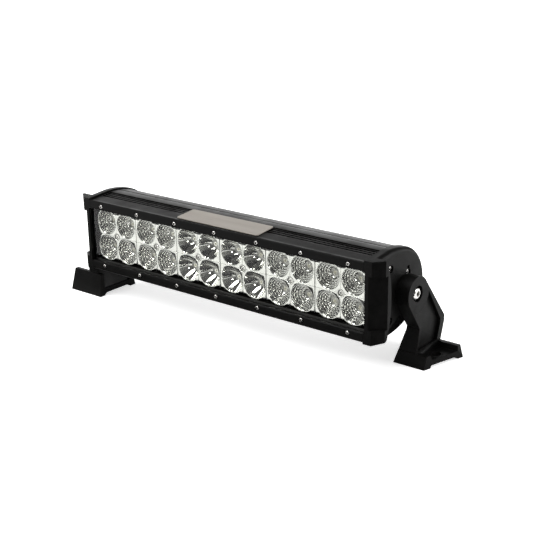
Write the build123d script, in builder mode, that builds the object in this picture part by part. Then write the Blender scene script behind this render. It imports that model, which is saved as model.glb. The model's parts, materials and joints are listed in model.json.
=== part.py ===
"""Twin-row LED light bar of the 13.5 inch class, standing on two swivelling foot brackets.

X runs along the bar, the lamp face looks towards -Y and +Z is up. The origin lies on the floor
under the middle of the overall box. All sizes are millimetres.
"""
import os
from math import acos, atan2, cos, hypot, radians, sin

from build123d import *

# ------------------------------------------------------------------ driving sizes
# bar body
bar_half_length = 150.0      # extrusion, middle to end
face_half_height = 33.2      # half height of the bezel face
crest_depth = 26.0           # highest line of the top, behind the bezel face
crest_rise = 2.1             # crest above the edge of the face
top_swell = 1.0              # bulge of the arc from the crest to the round back
tail_centre = 42.5           # centre of the round back, behind the bezel face
tail_rise = 0.1              # top of the round back above the edge of the face
axis_height = 65.0           # bar axis above the floor
web_thickness = 5.0
chamber_half_height = 13.0   # driver chamber
chamber_length = 22.0        # driver chamber, front to back
chamber_wall = 4.0
fin_pitch = 6.0
fin_slot_width = 3.6
fin_slot_rows = 5
top_band_front = 12.5        # sunk ribbed band along the top
top_band_back = 25.5
top_band_sink = 1.3
band_rib_width = 1.1
band_rib_height = 0.8
band_rib_count = 4
hairline_depth = 36.0        # fine groove along the top
hairline_width = 0.9

# bezel, window and seals
strip_thickness = 3.0
opening_half_height = 25.2
opening_run = 2.2            # opening past the end of the extrusion
window_half_height = 26.5
window_run = 4.0             # window past the end of the extrusion
window_thickness = 3.2
window_gasket_thickness = 1.0
window_gasket_width = 1.5
end_gasket_thickness = 1.0
end_gasket_inset = 1.0
bezel_screw_count = 7
bezel_screw_spacing = 45.45
bezel_screw_inset = 4.7      # from the edge of the face
bezel_screw_head_radius = 1.95
bezel_screw_head_thickness = 1.7
bezel_screw_radius = 1.25
bezel_screw_length = 8.0
bezel_screw_socket = 1.5     # hex key size

# optics
module_count = 6
module_pitch = 50.0
module_gap = 0.2
cup_pitch = 24.35
cup_radius = 11.47
cup_throat_radius = 4.0
cup_wall = 1.0
cup_steps = 5                # rings in a flood cup
spot_modules = (2, 3)        # counted from the left end, starting at 0
reflector_plate = 1.5
reflector_half_height = 21.2  # between the scallops
reflector_depth = 10.6
reflector_setback = 0.2      # behind the window gasket
reflector_screw_radius = 1.25
reflector_screw_head_radius = 2.3
reflector_screw_head_thickness = 1.4
reflector_boss_radius = 3.4
led_size = 5.0
led_thickness = 1.2
led_dome_radius = 2.2
led_board_thickness = 1.6
led_board_half_height = 24.6
thermal_pad_thickness = 0.4

# end caps
cap_proud = 1.2              # outline of a cap outside the extrusion's outline
# reaches along the bar start at the end of the extrusion
cap_side_run = 9.5           # flat side that the bracket swivels on
cap_flat_end_run = 8.5       # where the flat face ends and the slanted corner begins
cap_flange_run = 17.0        # curved flange in front of the flat side
cap_corner_depth = 7.0
cap_flange_top_depth = 7.6   # rear edge of the flange: top, middle and foot
cap_flange_depth = 15.4
cap_flange_foot_depth = 9.6
cap_flange_foot_rise = 2.2   # above the lower edge of the face
cap_flange_overlap = 1.8     # flange sunk past the rounded rim
cap_scoop_inset = 11.2       # from the edge of the face
cap_scoop_run = 5.5
cap_scoop_depth = 3.2        # deeper than the slanted corner
cap_relief_run = 4.5         # lower rear relief
cap_edge_radius = 4.0
cap_screw_radius = 1.6
cap_screw_head_radius = 2.9
cap_screw_head_thickness = 2.4
cap_screw_seat_run = 6.0     # plane under the screw heads
cap_screw_grip = 14.0        # thread length inside the extrusion
front_cap_screw = (25.8, 21.6)   # depth, height
rear_cap_screw = (51.5, 12.0)
screw_channel_wall = 2.0
keyhole_half_width = 1.7
keyhole_rise = 6.0

# pivots
pivot_setback = 46.9         # pivot axis behind the bezel face
pivot_drop = 2.2             # pivot axis under the bar axis
pivot_bolt_radius = 3.0
pivot_head_radius = 5.3
pivot_head_thickness = 3.3
pivot_socket = 4.0
pivot_insert_radius = 4.6
flat_washer_radius = 6.0
flat_washer_thickness = 1.2
lock_washer_radius = 5.2
lock_washer_thickness = 1.4
lock_washer_split = 0.8

# brackets
arm_thickness = 12.0
arm_boss_radius = 14.5
front_kink = (4.0, -31.0)    # behind and above the pivot
rear_kink_top = -31.0        # the arm's rear corner is a short upright edge
rear_kink_bottom = -36.0
heel_height = -54.0
right_arm_reach = 43.4       # rear corner of the arm, away from the pivot
right_heel_reach = 37.5
right_wall_height = 11.3     # wall along the far edge of the foot
left_arm_reach = 34.0
left_heel_reach = 36.0
left_wall_height = 22.0
arm_flare_height = -33.0     # below this the arm widens inwards to the foot
arm_pocket_depth = 3.0
arm_pocket_floor = -50.0
arm_pocket_boss_radius = 17.0
arm_rim_front = 3.2
arm_rim_rear = 5.2
foot_inner_run = 7.8         # foot inwards past the arm
foot_front_reach = 3.0       # near edge of the right foot, ahead of the pivot
left_foot_near_reach = 7.0   # near edge of the left foot, past the pivot
foot_rear_reach = 40.0       # rear edge of the foot, behind the pivot
foot_front_run = 9.2         # outer corners of the foot, outwards past the arm
foot_rear_run = 20.7
foot_near_wall_height = 11.3
foot_wall_thickness = 7.0
foot_wall_top_width = 4.1
foot_wall_lean = 0.12        # run of the far wall's outer face for each unit of rise
foot_end_lean = 0.2          # the same for the outer end of the foot
foot_plate_lift = 2.4
foot_plate_thickness = 4.6
foot_draft = 2.6
foot_hole_radius = 4.25      # clearance hole for the fixing bolt
foot_hole_margin = 3.5       # from the arm to the hole

# driver electronics, cable gland, vent and name plate
driver_half_length = 62.0
driver_half_height = 11.0
driver_thickness = 1.6
driver_standoff = 5.0
driver_hole_inset = 4.0
driver_screw_radius = 1.25
driver_screw_head_radius = 2.4
driver_screw_head_thickness = 1.5
spacer_radius = 2.4
gland_x = -112.0
vent_x = 112.0
rear_pocket_half_width = 13.0
rear_pocket_half_height = 11.0
gland_thread_radius = 6.0
gland_hex = 15.0
gland_body_thickness = 5.0
gland_nut_length = 9.0
gland_bore_radius = 3.2
gland_seal_radius = 4.4
vent_thread_radius = 4.0
vent_hex = 12.0
vent_hex_thickness = 3.0
vent_cap_radius = 6.6
vent_cap_thickness = 2.4
plate_half_length = 45.0
plate_gap = 0.2              # from the bezel strip to the plate
plate_back_inset = 0.4       # from the crest
plate_thickness = 0.8
plate_corner_radius = 2.2

# fits
fit = 0.05                   # around screws and bolts in their holes
side_gap = 0.3               # bracket to the side of the bar
washer_gap = 0.1
seat_gap = 0.2               # round the window and the end faces
head_gap = 0.4               # round sunk screw heads

# ------------------------------------------------------------------ places worked out from the sizes
overall_depth = pivot_setback + max(foot_rear_reach, right_arm_reach)
front_y = -overall_depth / 2
pivot_y = front_y + pivot_setback
pivot_z = axis_height - pivot_drop

window_front = strip_thickness
window_back = window_front + window_thickness
ledge_depth = window_back + window_gasket_thickness
reflector_front = ledge_depth + reflector_setback
board_front = reflector_front + reflector_depth
board_back = board_front + led_board_thickness
web_front = board_back + thermal_pad_thickness
web_back = web_front + web_thickness
chamber_back = web_back + chamber_length
chamber_outside = chamber_back + chamber_wall

crest_height = face_half_height + crest_rise
tail_radius = face_half_height + tail_rise
tail_end = tail_centre + tail_radius
bezel_screw_height = face_half_height - bezel_screw_inset
plate_front = strip_thickness + plate_gap
plate_back = crest_depth - plate_back_inset

cap_start = bar_half_length + end_gasket_thickness
opening_half_length = bar_half_length + opening_run
window_half_length = bar_half_length + window_run
cap_side = bar_half_length + cap_side_run
cap_flat_end = bar_half_length + cap_flat_end_run
cap_flange_half_length = bar_half_length + cap_flange_run
cap_scoop_start = bar_half_length + cap_scoop_run
cap_relief_start = bar_half_length + cap_relief_run
cap_screw_seat = bar_half_length + cap_screw_seat_run
cap_scoop_half_height = face_half_height - cap_scoop_inset
cap_flange_foot = (cap_flange_foot_depth, -(face_half_height - cap_flange_foot_rise))
window_rebate_half_height = window_half_height + seat_gap
window_rebate_half_length = window_half_length + seat_gap
strip_half_length = cap_start - seat_gap

arm_inner = cap_side + side_gap
arm_outer = arm_inner + arm_thickness
washer_stack = flat_washer_thickness + lock_washer_thickness + pivot_head_thickness
foot_inner = arm_inner - foot_inner_run
foot_front_outer = arm_outer + foot_front_run
foot_rear_outer = arm_outer + foot_rear_run
counterbore_floor = arm_outer - washer_stack - washer_gap
flat_washer_start = counterbore_floor + washer_gap
lock_washer_start = flat_washer_start + flat_washer_thickness
pivot_head_start = lock_washer_start + lock_washer_thickness

cup_places = [(side * cup_pitch / 2, level * cup_pitch / 2) for side in (-1, 1) for level in (-1, 1)]
module_places = [(n - (module_count - 1) / 2) * module_pitch for n in range(module_count)]
bezel_screw_places = [
    ((n - (bezel_screw_count - 1) / 2) * bezel_screw_spacing, level * bezel_screw_height)
    for n in range(bezel_screw_count)
    for level in (-1, 1)
]
cap_screw_places = [
    (depth, level * height) for depth, height in (front_cap_screw, rear_cap_screw) for level in (-1, 1)
]
driver_screw_places = [
    (end * (driver_half_length - driver_hole_inset), level * (driver_half_height - driver_hole_inset))
    for end in (-1, 1)
    for level in (-1, 1)
]


# ------------------------------------------------------------------ planes and shared outlines
def side_plane(x):
    """Across the bar: sketch X runs back from the bezel face, sketch Y up from the bar axis."""
    return Plane(origin=(x, front_y, axis_height), x_dir=(0, 1, 0), z_dir=(1, 0, 0))


def face_plane(depth):
    """Parallel to the bezel face: sketch X runs along the bar, and extruding goes forwards."""
    return Plane(origin=(0, front_y + depth, axis_height), x_dir=(1, 0, 0), z_dir=(0, -1, 0))


def plan_plane(z):
    """Level: sketch X runs along the bar, sketch Y back from the bezel face."""
    return Plane(origin=(0, front_y, z), x_dir=(1, 0, 0), z_dir=(0, 0, 1))


def pivot_plane(x):
    """Across the bar, with the pivot axis at the sketch origin."""
    return Plane(origin=(x, pivot_y, pivot_z), x_dir=(0, 1, 0), z_dir=(1, 0, 0))


def block(x0, x1, y0, y1, mode=Mode.ADD):
    """Rectangle between two corners of the current sketch."""
    with Locations(((x0 + x1) / 2, (y0 + y1) / 2)):
        Rectangle(x1 - x0, y1 - y0, mode=mode)


def top_height(depth):
    """Height of the sloping front part of the top above the bar axis."""
    run = (depth - strip_thickness) / (crest_depth - strip_thickness)
    return face_half_height + run * (crest_height - face_half_height)


def body_section(grow, front):
    """D-shaped section of the bar with a flat front, grown outwards by `grow`."""
    radius = tail_radius + grow
    crest = (crest_depth, crest_height + grow)
    join = (tail_centre + radius * cos(radians(75)), radius * sin(radians(75)))
    swell = ((crest[0] + join[0]) / 2, (crest[1] + join[1]) / 2 + top_swell)
    shoulder = (tail_centre + radius * cos(radians(38)), radius * sin(radians(38)))
    with BuildSketch() as section:
        with BuildLine():
            Line((front, 0), (front, face_half_height + grow))
            Line((front, face_half_height + grow), crest)
            ThreePointArc(crest, swell, join)
            ThreePointArc(join, shoulder, (tail_centre + radius, 0))
            mirror(about=Plane.XZ)
        make_face()
    return section.sketch


def tangent_point(point, radius, turn):
    """Where the line from `point` touches a circle round the sketch origin; `turn` picks the side."""
    angle = atan2(point[1], point[0]) + turn * acos(radius / hypot(*point))
    return (radius * cos(angle), radius * sin(angle))


def save(piece, label):
    """Label a finished piece and write its file."""
    piece.label = label
    export_step(piece, f"parts/{label}.step")


os.makedirs("parts", exist_ok=True)

# ------------------------------------------------------------------ housing: finned extrusion
with BuildPart() as housing:
    with BuildSketch(side_plane(-bar_half_length)):
        add(body_section(0, strip_thickness))
        block(0, ledge_depth, -window_rebate_half_height, window_rebate_half_height, Mode.SUBTRACT)
        block(0, web_front, -opening_half_height, opening_half_height, Mode.SUBTRACT)
        block(web_back, chamber_back, -chamber_half_height, chamber_half_height, Mode.SUBTRACT)
        for row in range(fin_slot_rows):
            middle = (row + 0.5) * fin_pitch
            slot_start = chamber_outside if middle < chamber_half_height + chamber_wall else web_back
            for level in (1, -1):
                low = level * middle - fin_slot_width / 2
                block(slot_start, tail_end + 1, low, low + fin_slot_width, Mode.SUBTRACT)
        for level in (1, -1):
            with BuildLine():
                Polyline(
                    (top_band_front, level * (top_height(top_band_front) + 1)),
                    (top_band_front, level * (top_height(top_band_front) - top_band_sink)),
                    (top_band_back, level * (top_height(top_band_back) - top_band_sink)),
                    (top_band_back, level * (top_height(top_band_back) + 1)),
                    close=True,
                )
            make_face(mode=Mode.SUBTRACT)
            for rib in range(band_rib_count):
                step = (top_band_back - top_band_front) / band_rib_count
                rib_middle = top_band_front + (rib + 0.5) * step
                rib_base = top_height(rib_middle) - top_band_sink - 0.5
                rib_heights = sorted((level * rib_base, level * (rib_base + 0.5 + band_rib_height)))
                block(rib_middle - band_rib_width / 2, rib_middle + band_rib_width / 2, *rib_heights)
            hairline = sorted((level * (crest_height - 0.9), level * (crest_height + 1)))
            block(hairline_depth, hairline_depth + hairline_width, *hairline, Mode.SUBTRACT)
        with Locations(*cap_screw_places):
            Circle(cap_screw_radius + screw_channel_wall)
            Circle(cap_screw_radius + fit, mode=Mode.SUBTRACT)
    extrude(amount=2 * bar_half_length)
    # tapped holes for the bezel screws
    with BuildSketch(face_plane(strip_thickness)):
        with Locations(*bezel_screw_places):
            Circle(bezel_screw_radius + fit)
    extrude(amount=-bezel_screw_length, mode=Mode.SUBTRACT)
    # tapped holes for the reflector screws
    with BuildSketch(face_plane(web_front)):
        with Locations(*[(x, 0) for x in module_places]):
            Circle(reflector_screw_radius + fit)
    extrude(amount=-(web_thickness - 1), mode=Mode.SUBTRACT)
    # tapped holes for the driver board, from the chamber side
    with BuildSketch(face_plane(web_back)):
        with Locations(*driver_screw_places):
            Circle(driver_screw_radius + fit)
    extrude(amount=web_thickness - 1.5, mode=Mode.SUBTRACT)
    # pockets in the fins for the cable gland and the vent, with their threads
    with BuildSketch(face_plane(chamber_outside)):
        for x in (gland_x, vent_x):
            block(
                x - rear_pocket_half_width,
                x + rear_pocket_half_width,
                -rear_pocket_half_height,
                rear_pocket_half_height,
            )
    extrude(amount=-(tail_end - chamber_outside + 1), mode=Mode.SUBTRACT)
    with BuildSketch(face_plane(chamber_back - 0.5)):
        with Locations((gland_x, 0)):
            Circle(gland_thread_radius + fit)
        with Locations((vent_x, 0)):
            Circle(vent_thread_radius + fit)
    extrude(amount=-(chamber_wall + 1), mode=Mode.SUBTRACT)
save(housing.part, "housing")

# ------------------------------------------------------------------ bezel strips and their screws
for name, level in (("bezel_strip_top", 1), ("bezel_strip_bottom", -1)):
    with BuildPart() as bezel_strip:
        with BuildSketch(side_plane(-strip_half_length)):
            edges_of_strip = sorted((level * opening_half_height, level * face_half_height))
            block(0, strip_thickness, *edges_of_strip)
        extrude(amount=2 * strip_half_length)
        front_edges = bezel_strip.edges().filter_by(Axis.X).group_by(Axis.Y)[0]
        chamfer(front_edges, length=0.6)
        with BuildSketch(face_plane(0)):
            with Locations(*[place for place in bezel_screw_places if place[1] * level > 0]):
                Circle(bezel_screw_head_radius + head_gap)
        extrude(amount=-bezel_screw_head_thickness, mode=Mode.SUBTRACT)
        with BuildSketch(face_plane(0)):
            with Locations(*[place for place in bezel_screw_places if place[1] * level > 0]):
                Circle(bezel_screw_radius + fit)
        extrude(amount=-strip_thickness, mode=Mode.SUBTRACT)
    save(bezel_strip.part, name)

with BuildPart() as bezel_screws:
    with BuildSketch(face_plane(bezel_screw_head_thickness)):
        with Locations(*bezel_screw_places):
            Circle(bezel_screw_head_radius)
    extrude(amount=bezel_screw_head_thickness)
    with BuildSketch(face_plane(bezel_screw_head_thickness)):
        with Locations(*bezel_screw_places):
            Circle(bezel_screw_radius)
    extrude(amount=-bezel_screw_length)
    with BuildSketch(face_plane(0)):
        with Locations(*bezel_screw_places):
            RegularPolygon(bezel_screw_socket / 2, 6, major_radius=False)
    extrude(amount=-(bezel_screw_head_thickness - 0.5), mode=Mode.SUBTRACT)
save(bezel_screws.part, "bezel_screws")

# ------------------------------------------------------------------ window and its gasket
with BuildPart() as lens:
    with BuildSketch(face_plane(window_back)):
        RectangleRounded(2 * window_half_length, 2 * window_half_height, 1.5)
    extrude(amount=window_thickness)
save(lens.part, "lens")

with BuildPart() as lens_gasket:
    with BuildSketch(face_plane(ledge_depth)):
        Rectangle(2 * window_half_length, 2 * window_half_height)
        Rectangle(
            2 * (window_half_length - window_gasket_width),
            2 * (window_half_height - window_gasket_width),
            mode=Mode.SUBTRACT,
        )
    extrude(amount=window_gasket_thickness)
save(lens_gasket.part, "lens_gasket")


# ------------------------------------------------------------------ reflectors
def cup_wall_line(stepped):
    """Inner wall of a cup from its rim to its throat, as radius and depth behind the rim."""
    bowl_depth = reflector_depth - led_thickness
    if not stepped:
        middle = (0.80 * cup_radius, 0.56 * bowl_depth)
        ThreePointArc((cup_radius, 0), middle, (cup_throat_radius, bowl_depth))
        return
    points = [(cup_radius, 0)]
    for step in range(1, cup_steps + 1):
        share = step / cup_steps
        radius = cup_radius - (cup_radius - cup_throat_radius) * share**1.35
        points.append((radius + 0.35, bowl_depth * share - 0.25))
        points.append((radius, bowl_depth * share))
    Polyline(*points)


def make_reflector(stepped):
    """A moulded plate with four cups, centred over x = 0."""
    bowl_depth = reflector_depth - led_thickness
    rim_y = front_y + reflector_front
    with BuildPart() as reflector:
        with BuildSketch(face_plane(reflector_front)):
            Rectangle(module_pitch - module_gap, 2 * reflector_half_height)
            with Locations(*cup_places):
                Circle(cup_radius + cup_wall)
        extrude(amount=-reflector_plate)
        with BuildSketch(face_plane(reflector_front)):
            Circle(reflector_boss_radius)
        extrude(amount=-reflector_depth)
        for x, height in cup_places:
            cup_plane = Plane(origin=(x, rim_y, axis_height + height), x_dir=(1, 0, 0), z_dir=(0, 0, 1))
            axis = Axis((x, rim_y, axis_height + height), (0, 1, 0))
            with BuildSketch(cup_plane):
                with BuildLine():
                    Polyline((0, 0), (cup_radius + cup_wall, 0))
                    middle = (0.80 * cup_radius + cup_wall, 0.56 * bowl_depth)
                    ThreePointArc(
                        (cup_radius + cup_wall, 0),
                        middle,
                        (cup_throat_radius + cup_wall, bowl_depth),
                    )
                    Polyline((cup_throat_radius + cup_wall, bowl_depth), (0, bowl_depth), (0, 0))
                make_face()
            revolve(axis=axis)
        for x, height in cup_places:
            cup_plane = Plane(origin=(x, rim_y, axis_height + height), x_dir=(1, 0, 0), z_dir=(0, 0, 1))
            axis = Axis((x, rim_y, axis_height + height), (0, 1, 0))
            with BuildSketch(cup_plane):
                with BuildLine():
                    Polyline((0, 0), (cup_radius, 0))
                    cup_wall_line(stepped)
                    Polyline((cup_throat_radius, bowl_depth), (0, bowl_depth), (0, 0))
                make_face()
            revolve(axis=axis, mode=Mode.SUBTRACT)
        with BuildSketch(face_plane(reflector_front)):
            Circle(reflector_screw_head_radius + head_gap)
        extrude(amount=-reflector_screw_head_thickness, mode=Mode.SUBTRACT)
        with BuildSketch(face_plane(reflector_front)):
            Circle(reflector_screw_radius + fit)
        extrude(amount=-reflector_depth, mode=Mode.SUBTRACT)
    return reflector.part


spot_reflector = make_reflector(stepped=False)
flood_reflector = make_reflector(stepped=True)
for number, x in enumerate(module_places):
    kind = "spot" if number in spot_modules else "flood"
    module = spot_reflector if number in spot_modules else flood_reflector
    save(module.moved(Location((x, 0, 0))), f"{kind}_reflector_{number + 1}")

with BuildPart() as reflector_screws:
    with BuildSketch(face_plane(reflector_front + reflector_screw_head_thickness)):
        with Locations(*[(x, 0) for x in module_places]):
            Circle(reflector_screw_head_radius)
    extrude(amount=reflector_screw_head_thickness - 0.2)
    with BuildSketch(face_plane(reflector_front + reflector_screw_head_thickness)):
        with Locations(*[(x, 0) for x in module_places]):
            Circle(reflector_screw_radius)
    extrude(amount=-(web_front + web_thickness - 2 - reflector_front - reflector_screw_head_thickness))
    with BuildSketch(face_plane(reflector_front)):
        with Locations(*[(x, 0) for x in module_places]):
            Rectangle(0.6, 2.6)
            Rectangle(2.6, 0.6)
    extrude(amount=-(reflector_screw_head_thickness - 0.5), mode=Mode.SUBTRACT)
save(reflector_screws.part, "reflector_screws")

# ------------------------------------------------------------------ light engine
led_places = [(x + cup_x, height) for x in module_places for cup_x, height in cup_places]

with BuildPart() as led_board:
    with BuildSketch(face_plane(board_back)):
        Rectangle(2 * (bar_half_length - 1), 2 * led_board_half_height)
        with Locations(*[(x, 0) for x in module_places]):
            Circle(reflector_screw_radius + fit, mode=Mode.SUBTRACT)
    extrude(amount=led_board_thickness)
save(led_board.part, "led_board")

with BuildPart() as led_packages:
    with BuildSketch(face_plane(board_front)):
        with Locations(*led_places):
            Rectangle(led_size, led_size)
    extrude(amount=led_thickness)
    with BuildSketch(face_plane(board_front - led_thickness)):
        with Locations(*led_places):
            Circle(led_dome_radius)
    extrude(amount=led_dome_radius * 0.9, taper=38)
save(led_packages.part, "led_packages")

with BuildPart() as thermal_pad:
    with BuildSketch(face_plane(web_front)):
        Rectangle(2 * (bar_half_length - 1), 2 * led_board_half_height)
        with Locations(*[(x, 0) for x in module_places]):
            Circle(reflector_screw_radius + fit, mode=Mode.SUBTRACT)
    extrude(amount=thermal_pad_thickness)
save(thermal_pad.part, "thermal_pad")

# ------------------------------------------------------------------ driver electronics
driver_front = web_back + driver_standoff
driver_back = driver_front + driver_thickness

with BuildPart() as driver_spacers:
    with BuildSketch(face_plane(web_back)):
        with Locations(*driver_screw_places):
            Circle(spacer_radius)
            Circle(driver_screw_radius + fit, mode=Mode.SUBTRACT)
    extrude(amount=-driver_standoff)
save(driver_spacers.part, "driver_spacers")

with BuildPart() as driver_board:
    with BuildSketch(face_plane(driver_front)):
        Rectangle(2 * driver_half_length, 2 * driver_half_height)
        with Locations(*driver_screw_places):
            Circle(driver_screw_radius + fit, mode=Mode.SUBTRACT)
    extrude(amount=-driver_thickness)
save(driver_board.part, "driver_board")

with BuildPart() as driver_screws:
    with BuildSketch(face_plane(driver_back)):
        with Locations(*driver_screw_places):
            Circle(driver_screw_head_radius)
    extrude(amount=-driver_screw_head_thickness)
    with BuildSketch(face_plane(driver_back)):
        with Locations(*driver_screw_places):
            Circle(driver_screw_radius)
    extrude(amount=driver_thickness + driver_standoff + 3)
save(driver_screws.part, "driver_screws")

with BuildPart() as driver_components:
    # two smoothing capacitors, a choke, two switching transistors and a terminal block
    with BuildSketch(face_plane(driver_back)):
        with Locations((-38, 0), (-24, 0)):
            Circle(4.0)
    extrude(amount=-10)
    with BuildSketch(face_plane(driver_back)):
        with Locations((0, 0)):
            Circle(6.5)
            Circle(2.6, mode=Mode.SUBTRACT)
    extrude(amount=-6)
    with BuildSketch(face_plane(driver_back)):
        with Locations((18, 4), (18, -5)):
            Rectangle(10, 6.5)
    extrude(amount=-2.4)
    with BuildSketch(face_plane(driver_back)):
        with Locations((40, 0)):
            Rectangle(12, 10)
    extrude(amount=-8)
save(driver_components.part, "driver_components")

# ------------------------------------------------------------------ cable gland and vent
with BuildPart() as cable_gland_body:
    with BuildSketch(face_plane(chamber_outside)):
        with Locations((gland_x, 0)):
            RegularPolygon(gland_hex / 2, 6, major_radius=False)
    extrude(amount=-gland_body_thickness)
    with BuildSketch(face_plane(chamber_outside)):
        with Locations((gland_x, 0)):
            Circle(gland_thread_radius)
    extrude(amount=chamber_wall)
    with BuildSketch(face_plane(chamber_outside + gland_body_thickness)):
        with Locations((gland_x, 0)):
            Circle(gland_thread_radius)
    extrude(amount=-gland_body_thickness)
    with BuildSketch(face_plane(chamber_back)):
        with Locations((gland_x, 0)):
            Circle(gland_seal_radius)
    extrude(amount=-(chamber_wall + 2 * gland_body_thickness), mode=Mode.SUBTRACT)
save(cable_gland_body.part, "cable_gland_body")

gland_nut_start = chamber_outside + gland_body_thickness
gland_nut_end = gland_nut_start + gland_nut_length
with BuildPart() as cable_gland_nut:
    with BuildSketch(face_plane(gland_nut_start)):
        with Locations((gland_x, 0)):
            RegularPolygon(gland_hex / 2, 6, major_radius=False)
    extrude(amount=-gland_nut_length)
    chamfer(cable_gland_nut.faces().sort_by(Axis.Y)[-1].edges(), length=1.6)
    with BuildSketch(face_plane(gland_nut_start)):
        with Locations((gland_x, 0)):
            Circle(gland_thread_radius + fit)
    extrude(amount=-(gland_nut_length - 2.5), mode=Mode.SUBTRACT)
    with BuildSketch(face_plane(gland_nut_end)):
        with Locations((gland_x, 0)):
            Circle(gland_seal_radius)
    extrude(amount=gland_nut_length, mode=Mode.SUBTRACT)
save(cable_gland_nut.part, "cable_gland_nut")

with BuildPart() as cable_gland_seal:
    with BuildSketch(face_plane(chamber_outside)):
        with Locations((gland_x, 0)):
            Circle(gland_seal_radius - fit)
            Circle(gland_bore_radius, mode=Mode.SUBTRACT)
    extrude(amount=-(gland_nut_end - chamber_outside - 0.6))
save(cable_gland_seal.part, "cable_gland_seal")

with BuildPart() as breather_vent:
    with BuildSketch(face_plane(chamber_outside)):
        with Locations((vent_x, 0)):
            Circle(vent_thread_radius)
    extrude(amount=chamber_wall)
    with BuildSketch(face_plane(chamber_outside)):
        with Locations((vent_x, 0)):
            RegularPolygon(vent_hex / 2, 6, major_radius=False)
    extrude(amount=-vent_hex_thickness)
    with BuildSketch(face_plane(chamber_outside + vent_hex_thickness)):
        with Locations((vent_x, 0)):
            Circle(vent_cap_radius)
    extrude(amount=-vent_cap_thickness)
    vent_rim = breather_vent.faces().sort_by(Axis.Y)[-1].edges()
    chamfer(vent_rim, length=0.6)
save(breather_vent.part, "breather_vent")

# ------------------------------------------------------------------ name plate, left blank
plate_slope = (crest_height - face_half_height) / (crest_depth - strip_thickness)
plate_plane = Plane(
    origin=(0, front_y + plate_front, axis_height + top_height(plate_front)),
    x_dir=(1, 0, 0),
    z_dir=(0, -plate_slope, 1),
)
plate_depth = plate_back - plate_front
with BuildPart() as name_plate:
    with BuildSketch(plate_plane):
        with Locations((0, plate_depth / 2)):
            RectangleRounded(2 * plate_half_length, plate_depth, plate_corner_radius)
    extrude(amount=plate_thickness)
save(name_plate.part, "name_plate")

# ------------------------------------------------------------------ end caps
with BuildPart() as end_cap:
    with BuildSketch(side_plane(cap_start)):
        add(body_section(cap_proud, 0))
    extrude(amount=cap_side - cap_start)
    rim = end_cap.faces().sort_by(Axis.X)[-1].edges().sort_by(Axis.Y)[1:]
    fillet(rim, radius=cap_edge_radius)
    # curved flange in front of the flat side
    flange_start = cap_side - cap_edge_radius - cap_flange_overlap
    flange_top = crest_height + cap_proud + 1
    with BuildSketch(side_plane(flange_start)):
        add(body_section(cap_proud, 0))
        with BuildLine():
            Line((0, flange_top), (cap_flange_top_depth, flange_top))
            ThreePointArc((cap_flange_top_depth, flange_top), (cap_flange_depth, 0), cap_flange_foot)
            Polyline(cap_flange_foot, (0, -(face_half_height + cap_proud)), (0, flange_top))
        make_face(mode=Mode.INTERSECT)
    extrude(amount=cap_flange_half_length - flange_start)
    # slanted front corner, scooped deeper at mid height
    corner_cuts = (
        (cap_flat_end, cap_corner_depth, crest_height + 5),
        (cap_scoop_start, cap_corner_depth + cap_scoop_depth, cap_scoop_half_height),
    )
    for cut_start, cut_depth, cut_half_height in corner_cuts:
        with BuildSketch(plan_plane(axis_height)):
            with BuildLine():
                Polyline(
                    (cut_start, 0),
                    (cut_start, -1),
                    (cap_flange_half_length + 1, -1),
                    (cap_flange_half_length + 1, cut_depth),
                    (cap_flange_half_length, cut_depth),
                    close=True,
                )
            make_face()
        extrude(amount=cut_half_height, both=True, mode=Mode.SUBTRACT)
    # lower rear relief, open towards the floor
    with BuildSketch(side_plane(cap_relief_start)):
        with BuildLine():
            relief_low = -(crest_height + cap_proud + 1)
            relief_knee = (pivot_setback - 7, -(pivot_drop + arm_boss_radius + 3.3))
            Polyline(
                (13, relief_low),
                (13, -(face_half_height + cap_proud - 0.2)),
                relief_knee,
                (tail_end + 3, relief_knee[1]),
                (tail_end + 3, relief_low),
                close=True,
            )
        make_face()
    extrude(amount=cap_side - cap_relief_start + 1, mode=Mode.SUBTRACT)
    # window rebate and the end of the light chamber
    with BuildSketch(side_plane(cap_start)):
        block(window_front, ledge_depth, -window_rebate_half_height, window_rebate_half_height)
    extrude(amount=window_rebate_half_length - cap_start, mode=Mode.SUBTRACT)
    with BuildSketch(side_plane(cap_start)):
        block(0, web_front, -opening_half_height, opening_half_height)
    extrude(amount=opening_half_length - cap_start, mode=Mode.SUBTRACT)
    # hollow behind the driver chamber
    with BuildSketch(side_plane(cap_start)):
        block(web_back, pivot_setback - 8, -chamber_half_height, chamber_half_height)
    extrude(amount=4, mode=Mode.SUBTRACT)
    # screw holes with sunk seats, the rear ones keyhole shaped
    with BuildSketch(side_plane(cap_start)):
        with Locations(*cap_screw_places):
            Circle(cap_screw_radius + fit)
    extrude(amount=cap_side - cap_start, mode=Mode.SUBTRACT)
    with BuildSketch(side_plane(cap_screw_seat)):
        with Locations(*cap_screw_places):
            Circle(cap_screw_head_radius + head_gap)
        for level in (1, -1):
            notch = (level * rear_cap_screw[1], level * (rear_cap_screw[1] + keyhole_rise))
            block(
                rear_cap_screw[0] - keyhole_half_width,
                rear_cap_screw[0] + keyhole_half_width,
                *sorted(notch),
            )
    extrude(amount=cap_side - cap_screw_seat, mode=Mode.SUBTRACT)
    # seat of the threaded pivot insert
    with BuildSketch(pivot_plane(cap_start)):
        Circle(pivot_insert_radius)
    extrude(amount=cap_side - cap_start, mode=Mode.SUBTRACT)
save(end_cap.part, "end_cap_right")
save(mirror(end_cap.part, about=Plane.YZ), "end_cap_left")

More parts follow.
